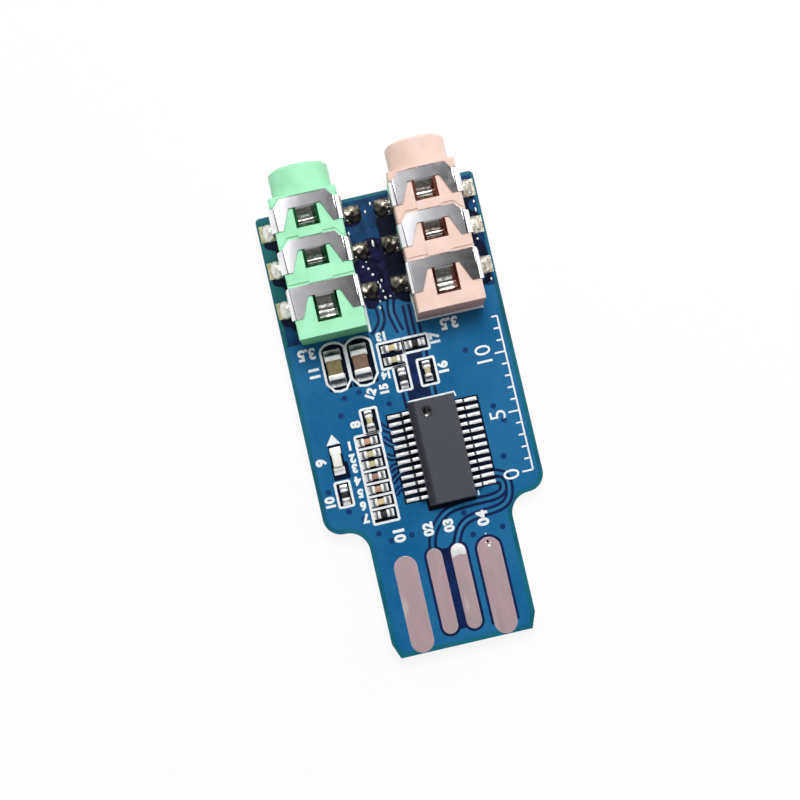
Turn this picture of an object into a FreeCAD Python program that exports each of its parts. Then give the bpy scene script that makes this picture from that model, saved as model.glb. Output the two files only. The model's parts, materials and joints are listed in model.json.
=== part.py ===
import FreeCAD, Part
import math
import os
from collections import namedtuple

# A USB audio module on a bare board. Its tongue is the plug, and two 3.5 mm sockets stand at the other end.
# X runs across the board, +Y towards the sockets and +Z up. The underside lies at Z = 0, and the origin is
# below the middle of the whole. All sizes are in millimetres.

# Circuit board
board_thickness = 2.0
board_corner_radius = 0.4
board_edge_margin = 0.15
copper_thickness = 0.05
tongue_width = 12.0
tongue_length = 10.9
tongue_cut_across = 0.5
tongue_cut_along = 1.3
shoulder_inner_radius = 1.7
shoulder_outer_radius = 1.5

# Contacts of the plug: the outer pair carries power, the inner pair data
power_contact_width = 1.92
power_contact_length = 8.0
power_contact_setback = 0.06
power_contact_spacing = 7.0
data_contact_width = 1.28
data_contact_length = 7.08
data_contact_setback = 1.04
data_contact_spacing = 2.0

# Socket housings
jack_width = 5.5
jack_height = 5.0
jack_length = 11.54
jack_overhang = 0.4
jack_edge_chamfer = 0.1
jack_pad_gap = 1.2
nose_diameter = 4.9
nose_length = 2.37
nose_chamfer = 0.22
bore_diameter = 3.6
bore_end_wall = 0.7
bore_lead_in = 0.2
rib_width = 1.95
rib_height = 0.1
peg_diameter = 1.2
peg_length = 1.6
peg_inset = 2.4
peg_clearance = 0.05

# Folded contact clips of the sockets
clip_thickness = 0.2
clip_bend_radius = 0.3
clip_wide_bend_radius = 0.5
clip_side_gap = 0.03
clip_corner_clearance = 0.1
clip_pocket_depth = 0.1
clip_pocket_gap = 0.06
clip_land_gap = 0.2
clip_setback = 0.21
clip_front_pitch = 3.42
clip_rear_pitch = 3.75
clip_length = 2.57
clip_band = 0.9
clip_corner_radius = 0.3
clip_corner_across = 0.48
clip_corner_along = 0.6
clip_flange_setback = 0.75
clip_mouth_front = 2.6
clip_mouth_rear = 4.05
clip_flange_depth = 2.4
leg_width = 1.0
foot_length = 0.85
sleeve_leg_setback = 1.58
ring_leg_setback = 1.3
tip_leg_setback = 0.96
sleeve_window = 1.7
ring_window = 1.55
tip_window = 2.2
window_cover = 0.4
spring_width = 1.5
spring_bite = 0.2
spring_tip_rise = 0.35
spring_tip_gap = 0.25

# Solder pads and joints of the sockets
jack_pad_length = 1.4
jack_pad_toe = 0.42
jack_pad_gap_to_housing = 0.08
solder_margin = 0.05
solder_height = 0.38
solder_slope = 0.3

# Audio chip
chip_offset = 1.55
chip_from_shoulder = 0.65
chip_to_jack = 6.55
chip_width = 3.9
chip_length = 8.65
chip_height = 1.45
chip_standoff = 0.1
chip_draft = 0.1
chip_bevel = 0.5
chip_dimple_diameter = 0.95
chip_dimple_depth = 0.2
chip_dimple_inset_across = 1.4
chip_dimple_inset_along = 1.05
leads_per_side = 12
lead_pitch = 0.635
lead_width = 0.28
lead_thickness = 0.18
lead_knee = 0.5
lead_slope = 0.2
lead_foot = 0.45
lead_pad_width = 0.3
lead_pad_heel = 0.2
lead_pad_toe = 0.65

# Chip capacitors, resistors and the status light
small_length = 1.0
small_width = 0.5
small_height = 0.5
small_end = 0.24
resistor_height = 0.35
large_length = 2.0
large_width = 1.25
large_height = 1.0
large_end = 0.42
light_length = 1.6
light_width = 0.8
light_base_height = 0.3
light_end = 0.25
lens_height = 0.4
lens_inset = 0.06
end_lip = 0.02
end_chamfer = 0.05
small_pad_toe = 0.35
large_pad_toe = 0.55
pad_side = 0.06

# Places of the small parts
column_rows = 6
column_pitch = 1.056
column_pair_pitch = 0.82
column_gap = 1.2
column_top = 2.0
upper_capacitor_across = 0.57
upper_capacitor_along = 1.62
light_across = 2.75
light_along = 1.0
light_resistor_drop = 2.85
large_pair_offset = 0.45
large_pair_spacing = 2.18
large_from_jack = 2.4
pair_offset = 0.6
pair_from_jack = 1.81
pair_spacing = 1.0
cross_resistor_offset = 1.38
cross_resistor_from_jack = 1.85
input_resistor_offset = 0.21
input_resistor_from_jack = 4.45
input_capacitor_offset = 1.89
input_capacitor_from_jack = 4.31

# Worked out from the sizes above
clip_half_width = jack_width / 2 + clip_side_gap + clip_thickness
foot_reach = clip_half_width + foot_length
jack_pad_reach = foot_reach + jack_pad_toe
jack_spacing = jack_pad_gap + 2 * jack_pad_reach
board_width = jack_spacing + 2 * (jack_pad_reach + board_edge_margin)
chip_near_end = tongue_length + chip_from_shoulder
jack_rear = chip_near_end + chip_length + chip_to_jack
board_length = jack_rear + jack_length - jack_overhang
overall_length = jack_rear + jack_length + nose_length
plug_end = -overall_length / 2
deck = board_thickness
seat = deck + copper_thickness
land_height = jack_height - rib_height
pocket_floor = land_height - clip_pocket_depth
bore_height = jack_height / 2
chip_y = plug_end + chip_near_end + chip_length / 2
jack_y = plug_end + jack_rear

# A small part: its plated ends are as wide and tall as the part, and its middle is a little less
SmallPart = namedtuple("SmallPart", "length width height end toe")
SMALL = SmallPart(small_length, small_width, small_height, small_end, small_pad_toe)
RESISTOR = SmallPart(small_length, small_width, resistor_height, small_end, small_pad_toe)
LARGE = SmallPart(large_length, large_width, large_height, large_end, large_pad_toe)
LIGHT = SmallPart(light_length, light_width, light_base_height, light_end, small_pad_toe)

# A contact clip, by the distance of its front edge from the rear of the housing. The front two have wide
# folds and cut front corners, and the rear one has tight folds that run its whole length.
Clip = namedtuple("Clip", "name front leg window bend cut_corners")
sleeve_front = jack_length - clip_setback
ring_front = sleeve_front - clip_front_pitch
tip_front = ring_front - clip_rear_pitch
sleeve_leg = sleeve_front - sleeve_leg_setback
ring_leg = ring_front - ring_leg_setback
tip_leg = tip_front - tip_leg_setback
CLIPS = [
    Clip("sleeve", sleeve_front, sleeve_leg, sleeve_window, clip_wide_bend_radius, True),
    Clip("ring", ring_front, ring_leg, ring_window, clip_wide_bend_radius, True),
    Clip("tip", tip_front, tip_leg, tip_window, clip_bend_radius, False),
]

V = FreeCAD.Vector
ACROSS = V(1, 0, 0)
ALONG = V(0, 1, 0)
UP = V(0, 0, 1)


def block(x0, x1, y0, y1, z0, z1):
    return Part.makeBox(x1 - x0, y1 - y0, z1 - z0, V(x0, y0, z0))


def rounded_wire(corners):
    """A closed flat wire through corners of (x, y, radius), each rounded by its own radius."""
    runs = []
    for index, (x, y, radius) in enumerate(corners):
        here = V(x, y, 0)
        back = V(*corners[index - 1][:2], 0) - here
        ahead = V(*corners[(index + 1) % len(corners)][:2], 0) - here
        back.normalize()
        ahead.normalize()
        half = back.getAngle(ahead) / 2
        middle = back + ahead
        if radius > 0 and middle.Length > 1e-6:
            middle.normalize()
            reach = radius / math.tan(half)
            inside = here + middle * (radius / math.sin(half) - radius)
            runs.append((here + back * reach, inside, here + ahead * reach))
        else:
            runs.append((here, None, here))
    edges = []
    for index, (start, inside, end) in enumerate(runs):
        before = runs[index - 1][2]
        if before.distanceToPoint(start) > 1e-6:
            edges.append(Part.makeLine(before, start))
        if inside is not None:
            edges.append(Part.Arc(start, inside, end).toShape())
    return Part.Wire(edges)


def fold_wire(points, thickness, bend):
    """The closed outline of a sheet folded along points of (x, y). A bend of 0 leaves the folds sharp."""
    half = thickness / 2
    path = [V(x, y, 0) for x, y in points]
    runs = [(path[i + 1] - path[i]).normalize() for i in range(len(path) - 1)]
    left = []
    right = []
    for index, point in enumerate(path):
        first = runs[max(index - 1, 0)]
        second = runs[min(index, len(runs) - 1)]
        shift = UP.cross(first) + UP.cross(second)
        shift = shift * (half / (1 + first.dot(second)))
        turn = first.cross(second).z
        sharp = bend == 0 or abs(turn) < 1e-9
        inner = 0 if sharp else bend - math.copysign(half, turn)
        outer = 0 if sharp else bend + math.copysign(half, turn)
        left.append((point.x + shift.x, point.y + shift.y, inner))
        right.append((point.x - shift.x, point.y - shift.y, outer))
    return rounded_wire(left + right[::-1])


def across_fold(points, thickness, bend, y0, y1):
    """A folded sheet whose outline is drawn in X and Z and which runs from y0 to y1."""
    wire = fold_wire(points, thickness, bend)
    wire.rotate(V(), ACROSS, 90)
    wire.translate(V(0, y0, 0))
    return Part.Face(wire).extrude(ALONG * (y1 - y0))


def along_fold(points, thickness, bend, x0, x1):
    """A folded sheet whose outline is drawn in Y and Z and which runs from x0 to x1."""
    wire = fold_wire(points, thickness, bend)
    wire.rotate(V(), ACROSS, 90)
    wire.rotate(V(), UP, 90)
    wire.translate(V(x0, 0, 0))
    return Part.Face(wire).extrude(ACROSS * (x1 - x0))


def plate(corners, z0, z1):
    wire = rounded_wire(corners)
    wire.translate(UP * z0)
    return Part.Face(wire).extrude(UP * (z1 - z0))


def moved(shape, x, y, z):
    copy = shape.copy()
    copy.translate(V(x, y, z))
    return copy


def jack_places():
    return {"output": -jack_spacing / 2, "microphone": jack_spacing / 2}


def peg_places():
    return [peg_inset, jack_length - peg_inset]


def circuit_board():
    half = board_width / 2
    tongue = tongue_width / 2
    shoulder = plug_end + tongue_length
    top = plug_end + board_length
    step = half - tongue
    share = min(1, step / (shoulder_inner_radius + shoulder_outer_radius))
    right = [
        (tongue - tongue_cut_across, plug_end, 0),
        (tongue, plug_end + tongue_cut_along, 0),
        (tongue, shoulder, shoulder_inner_radius * share),
        (half, shoulder, shoulder_outer_radius * share),
        (half, top, board_corner_radius),
    ]
    left = [(-x, y, radius) for x, y, radius in reversed(right)]
    board = plate(right + left, 0, board_thickness)
    hole_radius = peg_diameter / 2 + peg_clearance
    for x in jack_places().values():
        for y in peg_places():
            board = board.cut(Part.makeCylinder(hole_radius, board_thickness, V(x, jack_y + y, 0)))
    return board


def contact_pad(x, setback, width, length):
    near = plug_end + setback
    radius = width / 2
    straight = plate(
        [
            (x - radius, near + radius, 0),
            (x + radius, near + radius, 0),
            (x + radius, near + length - radius, 0),
            (x - radius, near + length - radius, 0),
        ],
        deck,
        seat,
    )
    middles = [V(x, near + y, deck) for y in (radius, length - radius)]
    ends = [Part.makeCylinder(radius, copper_thickness, middle) for middle in middles]
    return straight.fuse(ends).removeSplitter()


def contact_pads():
    power = (power_contact_setback, power_contact_width, power_contact_length)
    data = (data_contact_setback, data_contact_width, data_contact_length)
    return {
        "usb_contact_ground": contact_pad(-power_contact_spacing / 2, *power),
        "usb_contact_data_plus": contact_pad(-data_contact_spacing / 2, *data),
        "usb_contact_data_minus": contact_pad(data_contact_spacing / 2, *data),
        "usb_contact_power": contact_pad(power_contact_spacing / 2, *power),
    }


def clip_outline(clip, grow, rounding):
    """The plan of a clip's top: a band in front and two lobes beside a mouth that widens to the rear."""
    half = clip_half_width + grow
    front = clip.front + grow
    rear = clip.front - clip_length - grow
    band = clip.front - clip_band - grow
    mouth_front = clip_mouth_front / 2 - grow
    mouth_rear = clip_mouth_rear / 2 - grow
    right = [(mouth_front, band, 0), (mouth_rear, rear, 0), (half, rear, 0)]
    if clip.cut_corners:
        fold = half - clip.bend - clip_thickness / 2
        right.append((half, front - clip_flange_setback, 0))
        right.append((fold, front - clip_corner_along, 0))
        right.append((fold - clip_corner_across, front, 0))
    else:
        right.append((half, front, rounding))
    left = [(-x, y, radius) for x, y, radius in reversed(right)]
    return right + left


def shoulder_cuts(clip):
    """What is cut from the housing's long top edges, so that the folds of a clip fit round them."""
    half = jack_width / 2
    radius = clip.bend - clip_thickness / 2 + clip_corner_clearance
    near = clip.front - clip_length - clip_pocket_gap
    far = clip.front + clip_pocket_gap - (clip_corner_along if clip.cut_corners else 0)
    floor = pocket_floor - radius
    corner = block(half - radius, half + radius, near, far, floor, jack_height)
    rounding = Part.makeCylinder(radius, far - near, V(half - radius, near, floor), ALONG)
    cut = corner.cut(rounding)
    return [cut, cut.mirror(V(), ACROSS)]


def jack_housing():
    """A socket's moulding, with its rear face at Y = 0, its underside at Z = 0 and its bore along Y."""
    half = jack_width / 2
    body = block(-half, half, 0, jack_length, 0, land_height)
    long_edges = [
        edge
        for edge in body.Edges
        if edge.BoundBox.YLength > jack_length / 2 and edge.BoundBox.ZMin > land_height / 2
    ]
    body = body.makeChamfer(jack_edge_chamfer, long_edges)
    rib_start = tip_front - clip_band - tip_window
    rib = block(-rib_width / 2, rib_width / 2, rib_start, jack_length, bore_height, jack_height)
    centre = V(0, jack_length, bore_height)
    nose = Part.makeCylinder(nose_diameter / 2, nose_length, centre, ALONG)
    rim = [edge for edge in nose.Edges if edge.BoundBox.YMin > jack_length + nose_length / 2 and edge.Closed]
    nose = nose.makeChamfer(nose_chamfer, rim[:1])
    pegs = [Part.makeCylinder(peg_diameter / 2, peg_length, V(0, y, -peg_length)) for y in peg_places()]
    body = body.fuse([rib, nose] + pegs)

    mouth = jack_length + nose_length
    bore_radius = bore_diameter / 2
    bore = Part.makeCylinder(bore_radius, mouth - bore_end_wall, V(0, bore_end_wall, bore_height), ALONG)
    lead_in = Part.makeCone(
        bore_radius, bore_radius + bore_lead_in, bore_lead_in, V(0, mouth - bore_lead_in, bore_height), ALONG
    )
    cuts = [bore, lead_in]
    for clip in CLIPS:
        pocket = plate(clip_outline(clip, clip_pocket_gap, 0), pocket_floor, jack_height)
        cuts.append(pocket)
        cuts.extend(shoulder_cuts(clip))
        if clip is not CLIPS[0]:
            # The side lands stop short of a rear clip, and the rib runs on to it
            cuts.append(moved(pocket, 0, clip_land_gap, 0).cut(rib))
        window_rear = clip.front - clip_band - clip.window
        window_front = clip.front - window_cover
        cuts.append(
            block(-rib_width / 2, rib_width / 2, window_rear, window_front, bore_height, jack_height)
        )
    return body.cut(cuts).removeSplitter()


def contact_clip(clip):
    """One folded clip: the top and flanges, two legs with feet, and the spring that reaches into the bore."""
    side = clip_half_width - clip_thickness / 2
    top = pocket_floor + clip_thickness / 2
    hem = jack_height - clip_flange_depth
    sole = copper_thickness + clip_thickness / 2
    rear = clip.front - clip_length
    fold = [(-side, hem), (-side, top), (side, top), (side, hem)]
    cover = across_fold(fold, clip_thickness, clip.bend, rear, clip.front)
    cover = cover.common(plate(clip_outline(clip, 0, clip_corner_radius), 0, jack_height + clip_thickness))

    near = clip.leg - leg_width / 2
    far = clip.leg + leg_width / 2
    legs = []
    for hand in (-1, 1):
        leg = [(hand * side, hem), (hand * side, sole), (hand * foot_reach, sole)]
        legs.append(across_fold(leg, clip_thickness, clip_bend_radius, near, far))

    band = clip.front - clip_band
    window_rear = band - clip.window
    touch = bore_height + bore_diameter / 2 - spring_bite + clip_thickness / 2
    spring_end = window_rear + spring_tip_gap
    spring_path = [
        (band + clip_band / 2, top),
        (band - clip_thickness / 2, top),
        ((band + 2 * spring_end) / 3, touch),
        (spring_end, touch + spring_tip_rise),
    ]
    spring = along_fold(spring_path, clip_thickness, clip_bend_radius, -spring_width / 2, spring_width / 2)
    return cover.fuse(legs + [spring]).removeSplitter()


def jack_pads():
    """The six board pads of one socket, in the frame of its housing."""
    inner = jack_width / 2 + jack_pad_gap_to_housing
    pads = []
    for clip in CLIPS:
        near = clip.leg - jack_pad_length / 2
        far = clip.leg + jack_pad_length / 2
        pads.append(block(inner, jack_pad_reach, near, far, 0, copper_thickness))
        pads.append(block(-jack_pad_reach, -inner, near, far, 0, copper_thickness))
    return pads


def jack_solder(clips):
    """A sloping joint over each foot, hollowed by the clip that it holds."""
    inner = clip_half_width - clip_thickness / 2 + clip_bend_radius
    outer = jack_pad_reach - solder_margin
    side = jack_pad_length / 2 - solder_margin
    joints = []
    for clip, shape in zip(CLIPS, clips):
        rings = []
        for inset, height in ((0, 0), (solder_slope, solder_height)):
            ring = rounded_wire(
                [
                    (inner, clip.leg - side + inset, 0),
                    (outer - inset, clip.leg - side + inset, 0),
                    (outer - inset, clip.leg + side - inset, 0),
                    (inner, clip.leg + side - inset, 0),
                ]
            )
            ring.translate(UP * (copper_thickness + height))
            rings.append(ring)
        lump = Part.makeLoft(rings, True, True)
        for hand in (lump, lump.mirror(V(), ACROSS)):
            joints.extend(hand.cut(shape).Solids)
    return joints


def chip_package():
    """The chip's moulding: two drafted halves, a bevel along the first row of leads and a dimple."""
    half_x = chip_width / 2
    half_y = chip_length / 2
    levels = [(chip_draft, 0), (0, chip_height / 2), (chip_draft, chip_height)]
    rings = []
    for inset, height in levels:
        x = half_x - inset
        y = half_y - inset
        ring = rounded_wire([(-x, -y, 0), (x, -y, 0), (x, y, 0), (-x, y, 0)])
        ring.translate(UP * height)
        rings.append(ring)
    body = Part.makeLoft(rings, True, True)
    wedge = plate([(0, 0, 0), (chip_bevel, 0, 0), (0, -chip_bevel, 0)], -chip_length, chip_length)
    wedge.rotate(V(), ACROSS, 90)
    wedge.translate(V(-half_x + chip_draft, 0, chip_height))
    dimple_x = -half_x + chip_dimple_inset_across
    dimple_y = half_y - chip_dimple_inset_along
    dimple_floor = chip_height - chip_dimple_depth
    dimple = Part.makeCylinder(
        chip_dimple_diameter / 2, chip_dimple_depth, V(dimple_x, dimple_y, dimple_floor)
    )
    return moved(body.cut([wedge, dimple]), chip_offset, chip_y, deck + chip_standoff)


def lead_rows():
    return [(index - (leads_per_side - 1) / 2) * lead_pitch for index in range(leads_per_side)]


def lead_heel():
    return chip_width / 2 + lead_knee + lead_slope


def chip_leads(package):
    """Both rows of gull-wing leads, each cut back to the package's side."""
    exit_height = chip_standoff + chip_height / 2
    sole = copper_thickness + lead_thickness / 2
    heel = lead_heel()
    path = [
        (chip_width / 2 - chip_draft, exit_height),
        (chip_width / 2 + lead_knee, exit_height),
        (heel, sole),
        (heel + lead_foot, sole),
    ]
    leads = []
    for hand in (-1, 1):
        points = [(hand * x, z) for x, z in path]
        for row in lead_rows():
            lead = across_fold(points, lead_thickness, 0, row - lead_width / 2, row + lead_width / 2)
            leads.append(moved(lead, chip_offset, chip_y, deck).cut(package))
    return leads


def chip_pads():
    inner = lead_heel() - lead_pad_heel
    outer = chip_pad_reach()
    pads = []
    for row in lead_rows():
        near = chip_y + row - lead_pad_width / 2
        far = chip_y + row + lead_pad_width / 2
        pads.append(block(chip_offset + inner, chip_offset + outer, near, far, deck, seat))
        pads.append(block(chip_offset - outer, chip_offset - inner, near, far, deck, seat))
    return pads


def chip_pad_reach():
    return lead_heel() + lead_foot + lead_pad_toe


def small_part(kind):
    """The middle and the two plated ends of a small part that lies along X on its pads."""
    half = kind.length / 2
    side = kind.width / 2
    middle = block(
        -half + kind.end, half - kind.end, -side + end_lip, side - end_lip, end_lip, kind.height - end_lip
    )
    end = block(half - kind.end, half, -side, side, 0, kind.height)
    outer_edges = [
        edge for edge in end.Edges if edge.BoundBox.XMin > half - 1e-6 and edge.BoundBox.ZMax > 1e-6
    ]
    end = end.makeChamfer(end_chamfer, outer_edges)
    return middle, [end, end.mirror(V(), ACROSS)]


def small_pads(kind):
    outer = kind.length / 2 + kind.toe
    inner = kind.length / 2 - kind.end
    side = kind.width / 2 + pad_side
    pad = block(inner, outer, -side, side, 0, copper_thickness)
    return [pad, pad.mirror(V(), ACROSS)]


def place(shape, x, y, z, upright):
    """Puts a small part in its place, turned to lie along Y where it is upright on the board."""
    copy = shape.copy()
    if upright:
        copy.rotate(V(), UP, 90)
    copy.translate(V(x, y, z))
    return copy


def light_lens():
    """The clear block over the status light's base, drafted towards its top."""
    rings = []
    for inset, height in ((0, 0), (lens_inset, lens_height)):
        x = light_length / 2 - light_end - inset
        y = light_width / 2 - inset
        ring = rounded_wire([(-x, -y, 0), (x, -y, 0), (x, y, 0), (-x, y, 0)])
        ring.translate(UP * (light_base_height - end_lip + height))
        rings.append(ring)
    return Part.makeLoft(rings, True, True)


def column_drop(row):
    """How far a row of the column lies below the first. The second and third rows are a close pair."""
    steps = [column_pitch] * row
    if row > 1:
        steps[1] = column_pair_pitch
    return sum(steps)


def small_part_places():
    """Every small part by name: its kind, its place and whether it lies along Y."""
    column_x = chip_offset - chip_pad_reach() - column_gap - small_length / 2 - small_pad_toe
    first_row = chip_y + column_top
    light_x = column_x - light_across
    light_y = chip_y + light_along
    pair_x = jack_places()["output"] + large_pair_offset
    pair_y = jack_y - large_from_jack
    places = {}
    for row in range(column_rows):
        places[f"supply_capacitor_{row + 1}"] = (SMALL, column_x, first_row - column_drop(row), False)
    places["supply_bead"] = (SMALL, column_x, first_row - column_drop(column_rows), False)
    places["reference_capacitor"] = (
        SMALL, column_x + upper_capacitor_across, first_row + upper_capacitor_along, True
    )
    places["status_light"] = (LIGHT, light_x, light_y, True)
    places["light_resistor"] = (RESISTOR, light_x, light_y - light_resistor_drop, True)
    places["output_capacitor_left"] = (LARGE, pair_x - large_pair_spacing / 2, pair_y, True)
    places["output_capacitor_right"] = (LARGE, pair_x + large_pair_spacing / 2, pair_y, True)
    places["bias_capacitor_upper"] = (SMALL, -pair_offset, jack_y - pair_from_jack, False)
    places["bias_capacitor_lower"] = (SMALL, -pair_offset, jack_y - pair_from_jack - pair_spacing, False)
    places["bias_resistor"] = (RESISTOR, cross_resistor_offset, jack_y - cross_resistor_from_jack, False)
    places["input_resistor"] = (RESISTOR, -input_resistor_offset, jack_y - input_resistor_from_jack, True)
    places["input_capacitor"] = (SMALL, input_capacitor_offset, jack_y - input_capacitor_from_jack, True)
    return places


def small_parts():
    nodes = {}
    pads = []
    for name, (kind, x, y, upright) in small_part_places().items():
        middle, ends = small_part(kind)
        nodes[name + "_body"] = place(middle, x, y, seat, upright)
        nodes[name + "_ends"] = Part.makeCompound([place(end, x, y, seat, upright) for end in ends])
        pads.extend(place(pad, x, y, deck, upright) for pad in small_pads(kind))
        if kind is LIGHT:
            nodes[name + "_lens"] = place(light_lens(), x, y, seat, upright)
    nodes["small_part_pads"] = Part.makeCompound(pads)
    return nodes


def jacks():
    nodes = {}
    housing = jack_housing()
    clips = [contact_clip(clip) for clip in CLIPS]
    pads = Part.makeCompound(jack_pads())
    solder = Part.makeCompound(jack_solder(clips))
    for name, x in jack_places().items():
        nodes[f"{name}_jack_housing"] = moved(housing, x, jack_y, deck)
        for clip, shape in zip(CLIPS, clips):
            nodes[f"{name}_jack_{clip.name}_clip"] = moved(shape, x, jack_y, deck)
        nodes[f"{name}_jack_pads"] = moved(pads, x, jack_y, deck)
        nodes[f"{name}_jack_solder"] = moved(solder, x, jack_y, deck)
    return nodes


def chip():
    package = chip_package()
    return {
        "audio_chip_package": package,
        "audio_chip_leads": Part.makeCompound(chip_leads(package)),
        "audio_chip_pads": Part.makeCompound(chip_pads()),
    }


def main():
    os.makedirs("parts", exist_ok=True)
    nodes = {"circuit_board": circuit_board()}
    nodes.update(contact_pads())
    nodes.update(jacks())
    nodes.update(chip())
    nodes.update(small_parts())
    for name, shape in nodes.items():
        shape.exportStep(f"parts/{name}.step")


main()
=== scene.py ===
import json
import math

import bmesh
import bpy
from mathutils import Matrix, Vector

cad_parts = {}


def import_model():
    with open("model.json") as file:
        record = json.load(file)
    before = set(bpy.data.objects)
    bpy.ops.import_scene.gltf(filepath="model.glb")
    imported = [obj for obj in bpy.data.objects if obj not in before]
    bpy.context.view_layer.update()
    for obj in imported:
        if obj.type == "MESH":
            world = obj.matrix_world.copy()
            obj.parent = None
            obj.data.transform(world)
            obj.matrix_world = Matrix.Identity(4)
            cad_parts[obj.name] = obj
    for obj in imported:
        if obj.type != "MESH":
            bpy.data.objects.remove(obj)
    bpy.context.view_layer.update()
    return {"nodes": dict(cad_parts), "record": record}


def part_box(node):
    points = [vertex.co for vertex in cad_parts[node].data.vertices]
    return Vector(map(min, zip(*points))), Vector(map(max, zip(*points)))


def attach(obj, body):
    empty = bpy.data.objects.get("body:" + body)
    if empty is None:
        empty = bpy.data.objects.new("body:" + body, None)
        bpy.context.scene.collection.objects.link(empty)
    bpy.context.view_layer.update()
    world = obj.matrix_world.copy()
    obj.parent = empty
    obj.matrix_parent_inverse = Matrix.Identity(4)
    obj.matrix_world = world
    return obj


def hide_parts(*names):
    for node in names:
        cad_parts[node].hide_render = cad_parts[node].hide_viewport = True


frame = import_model()

# Finishes of a USB audio module. Lengths are in millimetres, and each piece is turned to metres as it is
# finished. A place on the board is (x, s): x across it from the middle, and s along it from the end of the
# plug. A box there is (x, x, s, s). Colours are as they look on screen, from 0 to 255.
MM = 0.001
nodes = frame["nodes"]
slot_of = {row["node"]: row["material_slot"] for row in frame["record"]["subparts"]}
JACKS = ("output", "microphone")
CLIPS = ("sleeve", "ring", "tip")
CONTACTS = ("ground", "data_plus", "data_minus", "power")

# Camera, placed as (x, s, z), with its roll in radians
CAMERA_PLACE = (-1.811, 14.3, 120.747)
CAMERA_TARGET = (-0.864, 20.603, 2.0)
CAMERA_ROLL = -0.227
CAMERA_LENS = 65.0
CAMERA_SENSOR = 36.0
CAMERA_NEAREST = 1.0

# Lamps, as place, width and the share of full light that each adds
KEY = ((25, 75, 205), 80, 0.64)
GLINT = ((25, 130, 178), 80, 0.745)
FILL = ((190, 25, 120), 200, 0.27)
SOFTBOX = ((-62, 90, 220), 80, 0.036)

# Light of the room, as two levels, where 1 is white, and the two values of a direction's X, Y or Z
# between which the first turns into the second
WALLS = (0.05, 0.7, -0.4, 0.6)
CEILING = (0.9, 0.09, -0.22, 0.16)
CEILING_DEPTH = (0.6, 1.0, 0.12, 0.2)
LEFT_OF_BEAM = (1.0, 0.0, -0.6, -0.54)
RIGHT_OF_BEAM = (0.0, 1.0, -0.32, -0.26)
BACKDROP = (1.0, 0.0, 0.8, 0.86)
CEILING_EDGE = (0.3, 0.5)

# Floor, and the distances over which its shadow fades out
FLOOR_SIZE = 1600.0
FLOOR_TONE = 0.95
FLOOR_DROP = 0.02
SHADOW_SHARE = 0.12
SHADOW_NEAR = 25.0
SHADOW_FAR = 90.0

# Heights of the board's layers above its deck
POUR_RISE = 0.016
EDGE_RISE = 0.017
DEEP_RISE = 0.0175
BAY_RISE = 0.0185
PATCH_RISE = 0.0195
VIA_RISE = 0.024

# Heights of lines above the copper
GAP_RISE = 0.004
TRACK_RISE = 0.012
PRINT_RISE = 0.016

# Copper and tracks
COPPER_MARGIN = 0.36
TRACK_WIDTH = 0.3
FINE_WIDTH = 0.15
GAP_WIDTH = 0.22
STRIP_STEPS = 5
VIA_RADIUS = 0.24
VIA_HOLE = 0.13
VIA_HOLLOW = 0.003
VIA_SIDES = 20
CONTACT_HOLE_SIDES = 16
CONTACT_HOLE_DOWN = 0.36
BOX_CORNER = 0.1
BOX_STEPS = 3
RING_STEPS = 8
RING_SLACK = 0.001

CURVED_TRACKS = [
    [(-1.0, 8.0), (-0.9, 8.9), (-0.3, 9.9), (0.6, 10.75), (1.6, 11.05), (3.3, 11.1), (5.0, 11.1),
     (5.75, 11.45), (5.85, 12.0), (5.65, 12.5), (5.1, 12.4)],
    [(1.0, 8.0), (1.35, 9.0), (2.1, 9.75), (3.2, 10.0), (5.3, 10.15), (6.1, 10.75), (6.35, 12.0),
     (6.0, 12.95), (5.1, 13.05)],
    [(-1.75, 26.2), (-1.0, 26.9), (-0.75, 27.8), (-0.9, 28.6)],
    [(0.45, 26.1), (0.2, 27.0), (0.0, 28.0), (0.25, 28.9)],
]
STRAIGHT_TRACKS = [
    [(-0.25, 21.4), (-0.25, 19.8)],
    [(1.9, 21.4), (1.9, 20.3)],
    [(1.9, 24.3), (1.9, 23.3)],
    [(1.35, 25.4), (1.35, 28.2)],
    [(1.85, 25.4), (1.85, 28.2)],
]
FINE_TRACKS = [
    [(-3.0, 19.0), (-2.6, 18.55), (-2.0, 18.2)],
    [(-3.0, 17.85), (-2.5, 17.3), (-2.0, 16.95)],
    [(-3.0, 16.4), (-2.6, 16.1), (-2.0, 16.05)],
    [(-3.0, 15.1), (-2.6, 15.35), (-2.0, 15.4)],
    [(-3.0, 14.1), (-2.6, 14.45), (-2.0, 14.8)],
    [(-3.0, 13.1), (-2.55, 13.5), (-2.0, 13.55)],
]
VIAS = [
    (-5.9, 20.4), (-1.8, 20.5), (5.3, 23.4), (7.1, 17.1), (6.5, 18.4), (6.4, 14.2), (-8.3, 14.5),
    (-5.0, 10.3), (-2.4, 9.6), (-4.15, 9.5), (2.16, 10.4), (2.5, 8.5), (5.0, 8.6), (-5.3, 21.75),
    (-4.0, 22.0), (-7.0, 12.6), (-5.9, 11.75), (-0.23, 34.9), (-0.5, 36.3),
]

# Boxes under the small parts and the chip that have no copper, in a dark lacquer that is partly painted
# shade. The last, along the chip's near end, is a painted shadow
PATCHES = [
    (-5.15, -3.15, 11.15, 18.4), (-4.25, -3.0, 18.5, 20.4), (-7.6, -6.5, 13.1, 15.05),
    (-7.6, -6.2, 15.3, 16.7), (-7.55, -6.45, 16.6, 18.2), (-1.65, 0.3, 23.4, 25.45),
    (0.4, 2.45, 24.3, 25.45), (-0.8, 0.3, 21.35, 23.25), (1.25, 2.55, 21.35, 23.45),
    (-6.35, -4.4, 22.5, 26.4), (-4.3, -2.2, 22.5, 26.4), (-2.35, 5.45, 12.1, 19.65),
    (-0.6, 3.45, 11.15, 12.2),
]
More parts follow.
